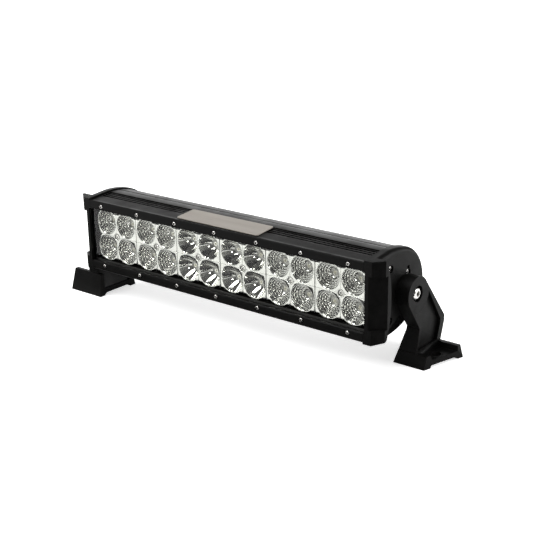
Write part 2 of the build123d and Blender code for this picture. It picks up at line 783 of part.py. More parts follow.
with BuildPart() as end_cap_gasket:
    with BuildSketch(side_plane(bar_half_length)):
        add(body_section(-end_gasket_inset, strip_thickness))
        block(0, ledge_depth, -window_rebate_half_height, window_rebate_half_height, Mode.SUBTRACT)
        block(0, web_front, -opening_half_height, opening_half_height, Mode.SUBTRACT)
        block(web_back, chamber_back, -chamber_half_height, chamber_half_height, Mode.SUBTRACT)
        with Locations(*cap_screw_places):
            Circle(cap_screw_radius + fit, mode=Mode.SUBTRACT)
    extrude(amount=end_gasket_thickness)
save(end_cap_gasket.part, "end_cap_gasket_right")
save(mirror(end_cap_gasket.part, about=Plane.YZ), "end_cap_gasket_left")

with BuildPart() as end_cap_screws:
    with BuildSketch(side_plane(cap_screw_seat)):
        with Locations(*cap_screw_places):
            Circle(cap_screw_head_radius)
    extrude(amount=cap_screw_head_thickness)
    with BuildSketch(side_plane(cap_screw_seat)):
        with Locations(*cap_screw_places):
            Circle(cap_screw_radius)
    extrude(amount=-(cap_screw_seat - bar_half_length + cap_screw_grip))
    with BuildSketch(side_plane(cap_screw_seat + cap_screw_head_thickness)):
        with Locations(*cap_screw_places):
            Rectangle(0.8, 3.4)
            Rectangle(3.4, 0.8)
    extrude(amount=-1.4, mode=Mode.SUBTRACT)
save(end_cap_screws.part, "end_cap_screws_right")
save(mirror(end_cap_screws.part, about=Plane.YZ), "end_cap_screws_left")

# ------------------------------------------------------------------ pivot hardware
with BuildPart() as pivot_insert:
    with BuildSketch(pivot_plane(cap_start)):
        Circle(pivot_insert_radius)
        Circle(pivot_bolt_radius + fit, mode=Mode.SUBTRACT)
    extrude(amount=cap_side - cap_start)
save(pivot_insert.part, "pivot_insert_right")
save(mirror(pivot_insert.part, about=Plane.YZ), "pivot_insert_left")

with BuildPart() as pivot_bolt:
    with BuildSketch(pivot_plane(cap_start + 1)):
        Circle(pivot_bolt_radius)
    extrude(amount=pivot_head_start - cap_start - 1)
    with BuildSketch(pivot_plane(pivot_head_start)):
        Circle(pivot_head_radius)
    extrude(amount=pivot_head_thickness)
    fillet(pivot_bolt.faces().sort_by(Axis.X)[-1].edges(), radius=1.2)
    with BuildSketch(pivot_plane(pivot_head_start + pivot_head_thickness)):
        RegularPolygon(pivot_socket / 2, 6, major_radius=False)
    extrude(amount=-2.2, mode=Mode.SUBTRACT)
save(pivot_bolt.part, "pivot_bolt_right")
save(mirror(pivot_bolt.part, about=Plane.YZ), "pivot_bolt_left")

with BuildPart() as flat_washer:
    with BuildSketch(pivot_plane(flat_washer_start)):
        Circle(flat_washer_radius)
        Circle(pivot_bolt_radius + fit, mode=Mode.SUBTRACT)
    extrude(amount=flat_washer_thickness)
save(flat_washer.part, "pivot_flat_washer_right")
save(mirror(flat_washer.part, about=Plane.YZ), "pivot_flat_washer_left")

with BuildPart() as lock_washer:
    with BuildSketch(pivot_plane(lock_washer_start)):
        Circle(lock_washer_radius)
        Circle(pivot_bolt_radius + fit, mode=Mode.SUBTRACT)
        block(0, lock_washer_radius + 1, -lock_washer_split / 2, lock_washer_split / 2, Mode.SUBTRACT)
    extrude(amount=lock_washer_thickness)
save(lock_washer.part, "pivot_lock_washer_right")
save(mirror(lock_washer.part, about=Plane.YZ), "pivot_lock_washer_left")

# ------------------------------------------------------------------ brackets
def make_bracket(arm_reach, heel_reach, far_wall_height, near_reach, flared_foot):
    """Arm and foot in one casting, for the right end of the bar."""
    front_tangent = tangent_point(front_kink, arm_boss_radius, -1)
    rear_tangent = tangent_point((arm_reach, rear_kink_top), arm_boss_radius, 1)
    floor = -pivot_z
    plate_bottom = floor + foot_plate_lift
    plate_top = plate_bottom + foot_plate_thickness
    near_wall_top = floor + foot_near_wall_height
    far_wall_top = floor + far_wall_height
    far_wall_crest = foot_rear_reach - foot_wall_lean * far_wall_height
    front_view = Plane(origin=(0, pivot_y, pivot_z), x_dir=(1, 0, 0), z_dir=(0, -1, 0))
    reach = foot_rear_reach + near_reach
    flare_lean = (arm_inner - foot_inner) / (arm_flare_height - floor)
    far_wall_inset = flare_lean * far_wall_height if flared_foot else 0

    with BuildPart() as arm_blank:
        with BuildSketch(pivot_plane(foot_inner)):
            with BuildLine():
                Polyline(
                    front_tangent,
                    front_kink,
                    (foot_draft / 2 - near_reach, plate_bottom),
                    (heel_reach - 1.5, plate_bottom),
                    (heel_reach, heel_height),
                    (arm_reach, rear_kink_bottom),
                    (arm_reach, rear_kink_top),
                    rear_tangent,
                    (0, 0),
                    close=True,
                )
            make_face()
            Circle(arm_boss_radius)
        extrude(amount=arm_outer - foot_inner)
        with BuildSketch(front_view):
            with BuildLine():
                Polyline(
                    (arm_inner, arm_boss_radius + 1),
                    (arm_outer, arm_boss_radius + 1),
                    (arm_outer, floor),
                    (foot_inner, floor),
                    (arm_inner, arm_flare_height),
                    close=True,
                )
            make_face()
        extrude(amount=2 * reach, both=True, mode=Mode.INTERSECT)

    with BuildPart() as foot_blank:
        with BuildSketch(pivot_plane(foot_inner)):
            with BuildLine():
                Polyline(
                    (-near_reach, floor),
                    (foot_wall_thickness - near_reach, floor),
                    (foot_wall_thickness - near_reach + 1, plate_bottom),
                    (foot_rear_reach - foot_wall_thickness - 2, plate_bottom),
                    (foot_rear_reach - foot_wall_thickness + 1.5, floor),
                    (foot_rear_reach, floor),
                    (far_wall_crest, far_wall_top),
                    (far_wall_crest - foot_wall_top_width, far_wall_top),
                    (foot_rear_reach - foot_wall_thickness + 0.4, plate_top),
                    (foot_wall_thickness - near_reach + 1.5, plate_top),
                    (foot_wall_thickness - near_reach - 0.4, near_wall_top),
                    (foot_draft - near_reach, near_wall_top),
                    close=True,
                )
            make_face()
        extrude(amount=foot_rear_outer - foot_inner)
        with BuildSketch(plan_plane(0)):
            with BuildLine():
                foot_front = pivot_setback - near_reach
                foot_rear = pivot_setback + foot_rear_reach
                Polyline(
                    (foot_inner, foot_front),
                    (foot_front_outer, foot_front),
                    (foot_rear_outer, foot_rear),
                    (foot_inner, foot_rear),
                    close=True,
                )
            make_face()
        extrude(amount=far_wall_height + 1, mode=Mode.INTERSECT)
        with BuildSketch(front_view):
            with BuildLine():
                Polyline(
                    (foot_inner, floor),
                    (foot_rear_outer, floor),
                    (foot_rear_outer - foot_end_lean * far_wall_height, far_wall_top),
                    (foot_inner + far_wall_inset, far_wall_top),
                    close=True,
                )
            make_face()
        extrude(amount=2 * reach, both=True, mode=Mode.INTERSECT)
        # hole for the fixing bolt
        hole_middle = arm_outer + foot_hole_margin + foot_hole_radius
        hole_line = pivot_setback + (foot_rear_reach - foot_front_reach) / 2
        with BuildSketch(plan_plane(0)):
            with Locations((hole_middle, hole_line)):
                Circle(foot_hole_radius)
        extrude(amount=far_wall_height, mode=Mode.SUBTRACT)

    with BuildPart() as bracket:
        add(arm_blank.part)
        add(foot_blank.part)
        # pocket in the outer face of the arm, clear of the boss
        with BuildSketch(pivot_plane(arm_outer)):
            with BuildLine():
                Polyline(
                    (front_kink[0] - 10, front_kink[1] + 18),
                    (front_kink[0] + arm_rim_front, front_kink[1]),
                    (arm_rim_front, arm_pocket_floor),
                    (heel_reach - arm_rim_rear, arm_pocket_floor),
                    (arm_reach - arm_rim_rear - 1.5, rear_kink_bottom),
                    (arm_reach - arm_rim_rear - 1.5, rear_kink_top - 1),
                    (rear_tangent[0] + 1.5, rear_tangent[1] - arm_rim_rear),
                    close=True,
                )
            make_face()
            Circle(arm_pocket_boss_radius, mode=Mode.SUBTRACT)
        extrude(amount=-arm_pocket_depth, mode=Mode.SUBTRACT)
        # pivot hole and counterbore
        with BuildSketch(pivot_plane(arm_inner)):
            Circle(pivot_bolt_radius + fit)
        extrude(amount=arm_thickness, mode=Mode.SUBTRACT)
        with BuildSketch(pivot_plane(counterbore_floor)):
            Circle(flat_washer_radius + 2 * head_gap)
        extrude(amount=arm_outer - counterbore_floor, mode=Mode.SUBTRACT)
    return bracket.part


upright = Axis((0, pivot_y, 0), (0, 0, 1))
right_bracket = make_bracket(
    right_arm_reach, right_heel_reach, right_wall_height, foot_front_reach, flared_foot=True
)
save(right_bracket, "bracket_right")
left_bracket = make_bracket(
    left_arm_reach, left_heel_reach, left_wall_height, left_foot_near_reach, flared_foot=False
)
# the left foot reaches forwards, so that the bar stands over both feet
save(left_bracket.rotate(upright, 180), "bracket_left")
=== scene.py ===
"""Finishes and fine detail of a twin-row LED light bar, built round its packed frame.

The file is laid out as an add-on: property groups hold the sizes and colours, one operator makes each
group of like pieces, and main() runs them in order.
"""

import json
from math import cos, floor, pi, radians, sin, sqrt, tau

import bmesh
import bpy
from bpy.props import FloatProperty, FloatVectorProperty, IntProperty, PointerProperty
from mathutils import Matrix, Vector
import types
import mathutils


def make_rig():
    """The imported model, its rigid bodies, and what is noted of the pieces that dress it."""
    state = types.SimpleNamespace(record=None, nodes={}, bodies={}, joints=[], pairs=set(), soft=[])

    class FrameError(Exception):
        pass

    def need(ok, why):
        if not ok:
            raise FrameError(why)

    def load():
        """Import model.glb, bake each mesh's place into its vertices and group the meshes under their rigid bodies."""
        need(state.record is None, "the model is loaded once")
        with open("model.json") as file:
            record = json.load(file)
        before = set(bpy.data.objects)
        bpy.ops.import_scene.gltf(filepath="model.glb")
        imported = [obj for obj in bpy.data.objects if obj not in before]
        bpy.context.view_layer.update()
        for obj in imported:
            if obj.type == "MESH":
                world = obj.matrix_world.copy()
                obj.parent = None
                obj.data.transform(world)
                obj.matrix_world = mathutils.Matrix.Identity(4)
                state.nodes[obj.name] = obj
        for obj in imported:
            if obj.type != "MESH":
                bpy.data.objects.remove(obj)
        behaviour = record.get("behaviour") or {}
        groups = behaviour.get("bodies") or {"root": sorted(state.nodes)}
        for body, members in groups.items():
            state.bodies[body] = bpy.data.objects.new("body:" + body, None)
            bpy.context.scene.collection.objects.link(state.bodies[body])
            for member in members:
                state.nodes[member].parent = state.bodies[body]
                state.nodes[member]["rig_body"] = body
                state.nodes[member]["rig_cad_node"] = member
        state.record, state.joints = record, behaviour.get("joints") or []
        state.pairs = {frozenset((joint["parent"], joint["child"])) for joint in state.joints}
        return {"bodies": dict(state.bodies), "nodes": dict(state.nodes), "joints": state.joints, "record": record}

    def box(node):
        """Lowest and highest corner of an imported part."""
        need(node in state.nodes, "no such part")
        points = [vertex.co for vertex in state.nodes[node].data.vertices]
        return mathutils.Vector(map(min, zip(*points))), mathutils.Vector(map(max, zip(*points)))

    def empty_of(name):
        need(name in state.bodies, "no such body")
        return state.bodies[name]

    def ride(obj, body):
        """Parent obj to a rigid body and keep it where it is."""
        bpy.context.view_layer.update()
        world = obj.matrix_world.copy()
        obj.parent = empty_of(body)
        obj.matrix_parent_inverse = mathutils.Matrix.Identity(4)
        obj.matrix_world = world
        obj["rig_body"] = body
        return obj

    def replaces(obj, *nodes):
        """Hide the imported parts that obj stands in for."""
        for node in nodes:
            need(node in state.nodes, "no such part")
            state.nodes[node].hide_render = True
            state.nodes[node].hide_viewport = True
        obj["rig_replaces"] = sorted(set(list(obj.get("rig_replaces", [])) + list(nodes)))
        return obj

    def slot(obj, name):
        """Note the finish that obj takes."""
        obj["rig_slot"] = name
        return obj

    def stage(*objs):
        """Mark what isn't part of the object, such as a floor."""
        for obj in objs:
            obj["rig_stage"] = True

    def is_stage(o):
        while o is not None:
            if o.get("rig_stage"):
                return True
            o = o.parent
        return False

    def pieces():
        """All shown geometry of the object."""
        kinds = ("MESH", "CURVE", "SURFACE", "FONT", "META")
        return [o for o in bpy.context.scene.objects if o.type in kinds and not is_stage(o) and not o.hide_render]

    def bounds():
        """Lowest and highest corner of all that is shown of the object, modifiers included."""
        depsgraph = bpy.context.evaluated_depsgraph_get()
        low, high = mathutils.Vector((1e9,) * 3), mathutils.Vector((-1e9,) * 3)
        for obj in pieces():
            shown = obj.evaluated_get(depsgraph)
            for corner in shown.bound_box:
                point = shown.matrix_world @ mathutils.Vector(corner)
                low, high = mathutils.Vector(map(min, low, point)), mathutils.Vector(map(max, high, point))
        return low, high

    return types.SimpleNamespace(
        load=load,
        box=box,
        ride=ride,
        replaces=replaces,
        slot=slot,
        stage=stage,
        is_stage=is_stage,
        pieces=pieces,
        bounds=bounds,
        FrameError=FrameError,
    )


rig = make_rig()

bl_info = {
    "name": "Light bar finish",
    "version": (1, 0, 0),
    "blender": (4, 5, 0),
    "location": "3D View > Sidebar > Light bar",
    "description": "Builds the optics, fasteners and finishes of an LED light bar round its frame",
    "category": "Object",
}

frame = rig.load()
CAD_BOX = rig.bounds()
MM = 0.001

# ------------------------------------------------------------------ places read from the frame
FACE_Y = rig.box("bezel_strip_top")[0].y
WINDOW_LOW, WINDOW_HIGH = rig.box("lens")
AXIS_Z = (WINDOW_LOW.z + WINDOW_HIGH.z) / 2
SPOT_NODES = [name for name in sorted(frame["nodes"]) if name.startswith("spot_reflector")]
FLOOD_NODES = [name for name in sorted(frame["nodes"]) if name.startswith("flood_reflector")]
MODULE_NODES = sorted(SPOT_NODES + FLOOD_NODES, key=lambda name: name[-1])
SIDES = ("left", "right")

# ------------------------------------------------------------------ fineness of the meshes
CUP_SEGMENTS = 144
BOSS_SEGMENTS = 48
SCREW_CREASE = 40.0
# how far the lift of a facet moves it towards the cup's axis, and towards the rim
LIFT_INWARD = 0.85
LIFT_FORWARD = 0.5


def middle(node):
    """Centre of a frame node's box."""
    low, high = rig.box(node)
    return (low + high) / 2


# ------------------------------------------------------------------ settings
def size(name, description, millimetres):
    """A length shown in the scene's own unit."""
    return FloatProperty(name=name, description=description, default=millimetres * MM, min=0.0,
                         unit="LENGTH", precision=4)


def tint(name, description, default):
    """A surface colour."""
    return FloatVectorProperty(name=name, description=description, default=default, size=3,
                               min=0.0, max=1.0, subtype="COLOR")


def share(name, description, default):
    """A number between nothing and all."""
    return FloatProperty(name=name, description=description, default=default, min=0.0, max=1.0,
                         subtype="FACTOR")


def turn(name, description, degrees):
    """An angle."""
    return FloatProperty(name=name, description=description, default=radians(degrees),
                         subtype="ANGLE")


class LightBarCoat(bpy.types.PropertyGroup):
    """Powder-coated shell: housing, bezel, end caps and brackets."""

    black: tint("Powder coat", "Colour of the coated aluminium", (0.0022, 0.0022, 0.0021))
    dust: tint("Dust", "Lighter tone in the coat's texture", (0.0050, 0.0048, 0.0045))
    roughness: share("Coat roughness", "Roughness of the coat", 0.42)
    shine: share("Coat shine", "Specular level of the coat", 0.07)
    edge: size("Edge rounding", "Radius on the edges of castings and extrusions", 0.35)
    plate: tint("Name plate", "Colour of the blank plate", (0.33, 0.30, 0.265))


class LightBarOptics(bpy.types.PropertyGroup):
    """Reflector modules, emitters and window."""

    metal: tint("Reflector", "Colour of the metallised mouldings", (0.68, 0.68, 0.655))
    cup_pitch: size("Cup pitch", "Distance between cup centres in a module", 24.35)
    cup_radius: size("Cup radius", "Radius of a cup at its rim", 11.47)
    throat_radius: size("Throat radius", "Radius of the opening round the emitter", 4.0)
    cup_wall: size("Cup wall", "Thickness of the moulding", 1.0)
    cup_depth: size("Cup depth", "Depth of a cup from rim to throat", 9.4)
    plate_thickness: size("Plate thickness", "Thickness of the plate between the cups", 1.5)
    plate_half_height: size("Plate half height", "Height of the plate between two scallops", 21.2)
    ring_count: IntProperty(name="Rings", description="Rings of facets in a flood cup", default=5,
                            min=2)
    facet_count: IntProperty(name="Facets", description="Facets in a ring", default=18, min=6)
    facet_bulge: size("Facet bulge", "Height of a facet's crown", 0.36)
    ring_step: size("Ring step", "Step between two rings of facets", 1.2)
    well_radius: size("Screw well", "Radius of the recess for the module screw", 2.7)
    boss_radius: size("Boss radius", "Outside of the raised ring round the screw", 3.5)
    boss_rise: size("Boss rise", "Height of the raised ring", 0.35)
    seam: size("Seam", "Set-back of a module's edge at the joint to the next", 0.2)
    emitter_size: size("Emitter", "Side of the LED package", 5.0)
    dome_radius: size("Dome radius", "Radius of the clear dome on the emitter", 2.3)
    phosphor: tint("Phosphor", "Colour of the unlit phosphor", (0.50, 0.48, 0.38))


class LightBarFasteners(bpy.types.PropertyGroup):
    """Screws, bolts and washers."""

    steel: tint("Stainless steel", "Colour of the bright fasteners", (0.80, 0.79, 0.76))
    bezel_head: size("Bezel screw head", "Radius of a bezel screw's head", 1.95)
    bezel_socket: size("Bezel screw socket", "Across flats of a bezel screw's socket", 2.0)
    cap_head: size("Cap screw head", "Radius of an end cap screw's head", 2.9)
    rear_cap_rise: size("Rear cap screw", "Height of the rear cap screws from the bar's axis", 12.0)
    module_head: size("Module screw head", "Radius of a reflector screw's head", 2.3)
    pivot_socket: size("Pivot socket", "Across flats of the pivot bolt's socket", 4.0)


class LightBarStage(bpy.types.PropertyGroup):
    """Camera, lights and floor."""

    azimuth: turn("Azimuth", "Where the camera stands, from the front towards the right", 38.79)
    elevation: turn("Elevation", "Height of the camera above the horizon", 19.02)
    roll: turn("Roll", "Turn of the camera about its own axis", -0.9)
    distance: size("Distance", "From the aim point to the camera", 907.7)
    aim_x: size("Aim along the bar", "Aim point, right of the middle", 56.63)
    aim_rise: size("Aim height", "Aim point, above the bar's axis", 10.38)
    lens: FloatProperty(name="Lens", description="Focal length in millimetres", default=75.28)
    floor_tone: share("Floor tone", "Brightness of the floor", 0.90)
    floor_lift: share("Floor lift", "Light added to the floor where the camera sees it", 0.62)
    sky: FloatProperty(name="Sky", description="Brightness of the surrounding light", default=0.09)
    sun: FloatProperty(name="Sun", description="Strength of the broad overhead light", default=3.9)
    sun_spread: turn("Sun spread", "Angle that the overhead light fills", 50)


# ------------------------------------------------------------------ node helpers
def put(tree, kind, inputs=None, **settings):
    """Adds a node. An input takes a value or another node's output."""
    made = tree.nodes.new(kind)
    for name, value in settings.items():
        setattr(made, name, value)
    for name, value in (inputs or {}).items():
        if isinstance(value, bpy.types.NodeSocket):
            tree.links.new(value, made.inputs[name])
        else:
            made.inputs[name].default_value = value
    return made


def live(sockets, name):
    """The socket of that name that the node's settings leave switched on."""
    return [socket for socket in sockets if socket.name == name and socket.enabled][0]


def sockets_of(tree, direction, rows):
    """Adds sockets to a group, each as (name, kind, default or None)."""
    for name, kind, default in rows:
        socket = tree.interface.new_socket(name, in_out=direction, socket_type=kind)
        if default is not None:
            socket.default_value = default


def grain_group():
    """Fine texture of a made surface: its height, its shade and its change of gloss."""
    known = bpy.data.node_groups.get("surface_grain")
    if known:
        return known
    tree = bpy.data.node_groups.new("surface_grain", "ShaderNodeTree")
    sockets_of(tree, "INPUT", (
        ("Vector", "NodeSocketVector", None),
        ("Fine scale", "NodeSocketFloat", 2500.0),
        ("Cloud scale", "NodeSocketFloat", 60.0),
    ))
    sockets_of(tree, "OUTPUT", (
        ("Height", "NodeSocketFloat", None),
        ("Shade", "NodeSocketFloat", None),
        ("Gloss", "NodeSocketFloat", None),
    ))
    given = put(tree, "NodeGroupInput")
    fine = put(tree, "ShaderNodeTexNoise", {"Vector": given.outputs["Vector"],
               "Scale": given.outputs["Fine scale"], "Detail": 3.0, "Roughness": 0.6})
    cloud = put(tree, "ShaderNodeTexNoise", {"Vector": given.outputs["Vector"],
                "Scale": given.outputs["Cloud scale"], "Detail": 4.0, "Roughness": 0.65})
    soft = put(tree, "ShaderNodeMapRange", {"Value": cloud.outputs["Fac"], "From Min": 0.35,
               "From Max": 0.7})
    crisp = put(tree, "ShaderNodeMapRange", {"Value": fine.outputs["Fac"], "From Min": 0.4,
                "From Max": 0.75})
    both = put(tree, "ShaderNodeMath", {0: soft.outputs[0], 1: crisp.outputs[0]},
               operation="MULTIPLY_ADD")
    tree.links.new(soft.outputs[0], both.inputs[2])
    half = put(tree, "ShaderNodeMath", {0: both.outputs[0], 1: 0.5}, operation="MULTIPLY")
    put(tree, "NodeGroupOutput", {"Height": fine.outputs["Fac"], "Shade": half.outputs[0],
        "Gloss": soft.outputs[0]})
    return tree


def empty_material(name):
    """A new material with nothing in its node tree."""
    material = bpy.data.materials.new(name)
    material.use_nodes = True
    material.node_tree.nodes.clear()
    return material


def grain_on(tree, fine, cloud, stretch=(1.0, 1.0, 1.0)):
    """The surface grain on the piece's own coordinates, stretched for a brushed finish."""
    place = put(tree, "ShaderNodeTexCoord")
    scaled = put(tree, "ShaderNodeMapping", {"Vector": place.outputs["Object"], "Scale": stretch})
    return put(tree, "ShaderNodeGroup", {"Vector": scaled.outputs[0], "Fine scale": fine,
               "Cloud scale": cloud}, node_tree=grain_group())


def surface(name, base, second, roughness, spread=0.1, metallic=0.0, shine=0.5, fine=2500.0,
            cloud=60.0, bump=0.25, depth=0.03 * MM, stretch=(1.0, 1.0, 1.0), painted_shade_reach=0.0,
            depth_of_shade=2.0):
    """A solid finish whose colour, gloss and relief come from the surface grain.

    A reach given for painted shade darkens the colour of sockets and slots narrower than it towards near-black, by
    ambient occlusion: this is painted shade, and depth_of_shade makes it steeper.
    """
    known = bpy.data.materials.get(name)
    if known:
        return known
    material = empty_material(name)
    tree = material.node_tree
    grain = grain_on(tree, fine, cloud, stretch)
    colour = put(tree, "ShaderNodeMix", {"Factor": grain.outputs["Shade"]}, data_type="RGBA")
    live(colour.inputs, "A").default_value = (*base, 1.0)
    live(colour.inputs, "B").default_value = (*second, 1.0)
    shade = live(colour.outputs, "Result")
    gloss = put(tree, "ShaderNodeMapRange", {"Value": grain.outputs["Gloss"],
                "To Min": max(roughness - spread, 0.02), "To Max": min(roughness + spread, 1.0)})
    relief = put(tree, "ShaderNodeBump", {"Height": grain.outputs["Height"], "Strength": bump,
                 "Distance": depth})
    # painted shade: ambient occlusion darkens the colour towards near-black in sockets, slots and creases
    if painted_shade_reach:
        open_sky = put(tree, "ShaderNodeAmbientOcclusion", {"Distance": painted_shade_reach}, samples=8,
                       only_local=True)
        painted_shade_strength = put(tree, "ShaderNodeMath", {0: open_sky.outputs["AO"], 1: depth_of_shade},
                    operation="POWER")
        painted_shade_mix = put(tree, "ShaderNodeMix", {"Factor": painted_shade_strength.outputs[0]}, data_type="RGBA")
        # near-black colour of the painted shade
        live(painted_shade_mix.inputs, "A").default_value = (0.004, 0.004, 0.004, 1.0)
        tree.links.new(shade, live(painted_shade_mix.inputs, "B"))
        shade = live(painted_shade_mix.outputs, "Result")
    shader = put(tree, "ShaderNodeBsdfPrincipled", {"Base Color": shade,
                 "Roughness": gloss.outputs[0], "Metallic": metallic,
                 "Specular IOR Level": shine, "Normal": relief.outputs[0]})
    put(tree, "ShaderNodeOutputMaterial", {"Surface": shader.outputs[0]})
    return material


def clear_surface(name, colour, reach, haze=0.02):
    """Clear plastic: mostly see-through, with a reflection that grows towards grazing."""
    known = bpy.data.materials.get(name)
    if known:
        return known
    material = empty_material(name)
    tree = material.node_tree
    grain = grain_on(tree, fine=900.0, cloud=25.0)
    gloss = put(tree, "ShaderNodeMapRange", {"Value": grain.outputs["Gloss"], "To Min": haze,
                "To Max": haze * 3})
    through = put(tree, "ShaderNodeBsdfTransparent", {"Color": (*colour, 1.0)})
    shader = put(tree, "ShaderNodeBsdfPrincipled", {"Base Color": (1.0, 1.0, 1.0, 1.0),
                 "Roughness": gloss.outputs[0], "Metallic": 1.0})
    rim = put(tree, "ShaderNodeFresnel", {"IOR": 1.45})
    side = put(tree, "ShaderNodeNewGeometry")
    outer = put(tree, "ShaderNodeMath", {0: reach, 1: side.outputs["Backfacing"]},
                operation="SUBTRACT", use_clamp=True)
    amount = put(tree, "ShaderNodeMath", {0: rim.outputs[0], 1: outer.outputs[0]},
                 operation="MULTIPLY")
    mix = put(tree, "ShaderNodeMixShader", {"Fac": amount.outputs[0], 1: through.outputs[0],
              2: shader.outputs[0]})
    put(tree, "ShaderNodeOutputMaterial", {"Surface": mix.outputs[0]})
    return material


# ------------------------------------------------------------------ finishes
def powder_coat():
    """Black powder coat with a faint orange-peel."""
    coat = bpy.context.scene.lightbar_coat
    return surface("powder_coat", tuple(coat.black), tuple(coat.dust), coat.roughness,
                   spread=0.07, shine=coat.shine, fine=1700.0, cloud=45.0, bump=0.35,
                   depth=0.05 * MM)


def cast_coat():
    """The same coat on a die casting, a little coarser."""
    coat = bpy.context.scene.lightbar_coat
    return surface("cast_powder_coat", tuple(coat.black), tuple(coat.dust),
                   coat.roughness + 0.04, spread=0.08, shine=coat.shine, fine=1200.0, cloud=70.0,
                   bump=0.45, depth=0.07 * MM)


def bright_steel():
    """Turned stainless steel, with painted shade darkening its sockets and slots."""
    steel = tuple(bpy.context.scene.lightbar_fasteners.steel)
    return surface("stainless_steel", steel, tuple(0.75 * value for value in steel), 0.24,
                   metallic=1.0, fine=1800.0, cloud=400.0, bump=0.2, depth=0.02 * MM,
                   # painted shade in sockets and slots narrower than 1.3 mm
                   painted_shade_reach=1.3 * MM)


def reflector_metal():
    """Vacuum-metallised moulding, with painted shade darkening its creases and the steps between facet rings."""
    metal = tuple(bpy.context.scene.lightbar_optics.metal)
    return surface("metallised_reflector", metal, tuple(0.93 * value for value in metal), 0.08,
                   spread=0.02, metallic=1.0, fine=900.0, cloud=80.0, bump=0.05, depth=0.02 * MM,
                   # painted shade in creases and ring steps narrower than 1.5 mm
                   painted_shade_reach=1.5 * MM, depth_of_shade=1.5)


def white_ceramic():
    """White body of an LED package."""
    return surface("white_ceramic", (0.80, 0.79, 0.76), (0.68, 0.67, 0.63), 0.45, fine=3000.0,
                   cloud=500.0)


def phosphor_layer():
    """Unlit phosphor."""
    phosphor = tuple(bpy.context.scene.lightbar_optics.phosphor)
    return surface("phosphor", phosphor, tuple(0.8 * value for value in phosphor), 0.5,
                   fine=5000.0, cloud=900.0)


def black_rubber():
    """Silicone seal."""
    return surface("black_rubber", (0.018, 0.018, 0.018), (0.035, 0.034, 0.033), 0.75,
                   fine=2600.0, cloud=90.0, bump=0.4, depth=0.06 * MM)


def black_nylon():
    """Moulded nylon."""
    return surface("black_nylon", (0.015, 0.015, 0.016), (0.028, 0.028, 0.029), 0.5,
                   fine=1500.0, cloud=120.0, bump=0.5, depth=0.06 * MM)


def plate_metal():
    """Satin name plate, brushed along the bar."""
    plate = tuple(bpy.context.scene.lightbar_coat.plate)
    return surface("satin_plate", plate, tuple(0.86 * value for value in plate), 0.42,
                   spread=0.08, metallic=0.55, fine=700.0, cloud=60.0, bump=0.3,
                   depth=0.03 * MM, stretch=(0.12, 1.0, 1.0))


# node: name of its material, base colour, second colour, roughness, metallic
INNER_FINISHES = {
    "led_board": ("board_mask_white", (0.78, 0.78, 0.75), (0.70, 0.70, 0.66), 0.4, 0.0),
    "thermal_pad": ("thermal_pad_grey", (0.42, 0.44, 0.48), (0.36, 0.38, 0.42), 0.8, 0.0),
    "driver_board": ("board_mask_green", (0.02, 0.16, 0.06), (0.03, 0.21, 0.09), 0.35, 0.0),
    "driver_components": ("component_body", (0.03, 0.03, 0.032), (0.06, 0.06, 0.06), 0.45, 0.0),
    "driver_spacers": ("turned_brass", (0.72, 0.54, 0.25), (0.60, 0.44, 0.20), 0.3, 1.0),
}


# ------------------------------------------------------------------ mesh helpers
def link(name, mesh, *materials):
    """An object at the origin that shows a mesh."""
    piece = bpy.data.objects.new(name, mesh)
    bpy.context.scene.collection.objects.link(piece)
    for material in materials:
        mesh.materials.append(material)
    return piece


def smooth(mesh, angle=35.0):
    """Smooth shading with edges kept crisp past an angle in degrees."""
    mesh.polygons.foreach_set("use_smooth", [True] * len(mesh.polygons))
    mesh.set_sharp_from_angle(angle=radians(angle))


def skin(rings, segments, centre, looped=False):
    """Points and faces through rings round the Y axis, where a ring gives radius and y at an angle.

    The ends are closed by a point on the axis, or the last ring joins the first.
    """
    points = []
    faces = []
    for ring in rings:
        for step in range(segments):
            angle = tau * step / segments
            radius, depth = ring(angle)
            points.append((centre[0] + radius * cos(angle), centre[1] + depth,
                           centre[2] + radius * sin(angle)))
    joins = len(rings) if looped else len(rings) - 1
    for row in range(joins):
        near = row * segments
        far = (row + 1) % len(rings) * segments
        for step in range(segments):
            after = (step + 1) % segments
            faces.append((near + step, near + after, far + after, far + step))
    if not looped:
        for row in (0, len(rings) - 1):
            pole = len(points)
            points.append((centre[0], centre[1] + rings[row](0.0)[1], centre[2]))
            start = row * segments
            faces += [(start + step, start + (step + 1) % segments, pole)
                      for step in range(segments)]
    return points, faces


def join_skins(name, skins, angle=35.0):
    """One mesh from several skins, with every shell facing outwards."""
    points = []
    faces = []
    for part_points, part_faces in skins:
        base = len(points)
        points += part_points
        faces += [tuple(base + corner for corner in face) for face in part_faces]
    mesh = bpy.data.meshes.new(name)
    mesh.from_pydata(points, [], faces)
    shell = bmesh.new()
    shell.from_mesh(mesh)
    bmesh.ops.remove_doubles(shell, verts=shell.verts, dist=1e-7)
    bmesh.ops.recalc_face_normals(shell, faces=shell.faces)
    shell.to_mesh(mesh)
    shell.free()
    smooth(mesh, angle)
    return mesh


def turned_shape(name, rings, segments, angle=35.0):
    """A mesh of one closed skin round the Y axis, centred on the origin."""
    return join_skins(name, [skin(rings, segments, (0, 0, 0))], angle)


def flat_sheet(name, left, right, front, back, level):
    """A flat rectangle that faces up."""
    mesh = bpy.data.meshes.new(name)
    mesh.from_pydata([(left, front, level), (right, front, level), (right, back, level),
                      (left, back, level)], [], [(0, 1, 2, 3)])
    return mesh


def ring(radius, depth):
    """A round ring."""
    return lambda angle: (radius, depth)


def hexagon(across, depth):
    """A six-sided ring, given across its flats."""
    return lambda angle: (across / 2 / cos((angle + pi / 6) % (pi / 3) - pi / 6), depth)


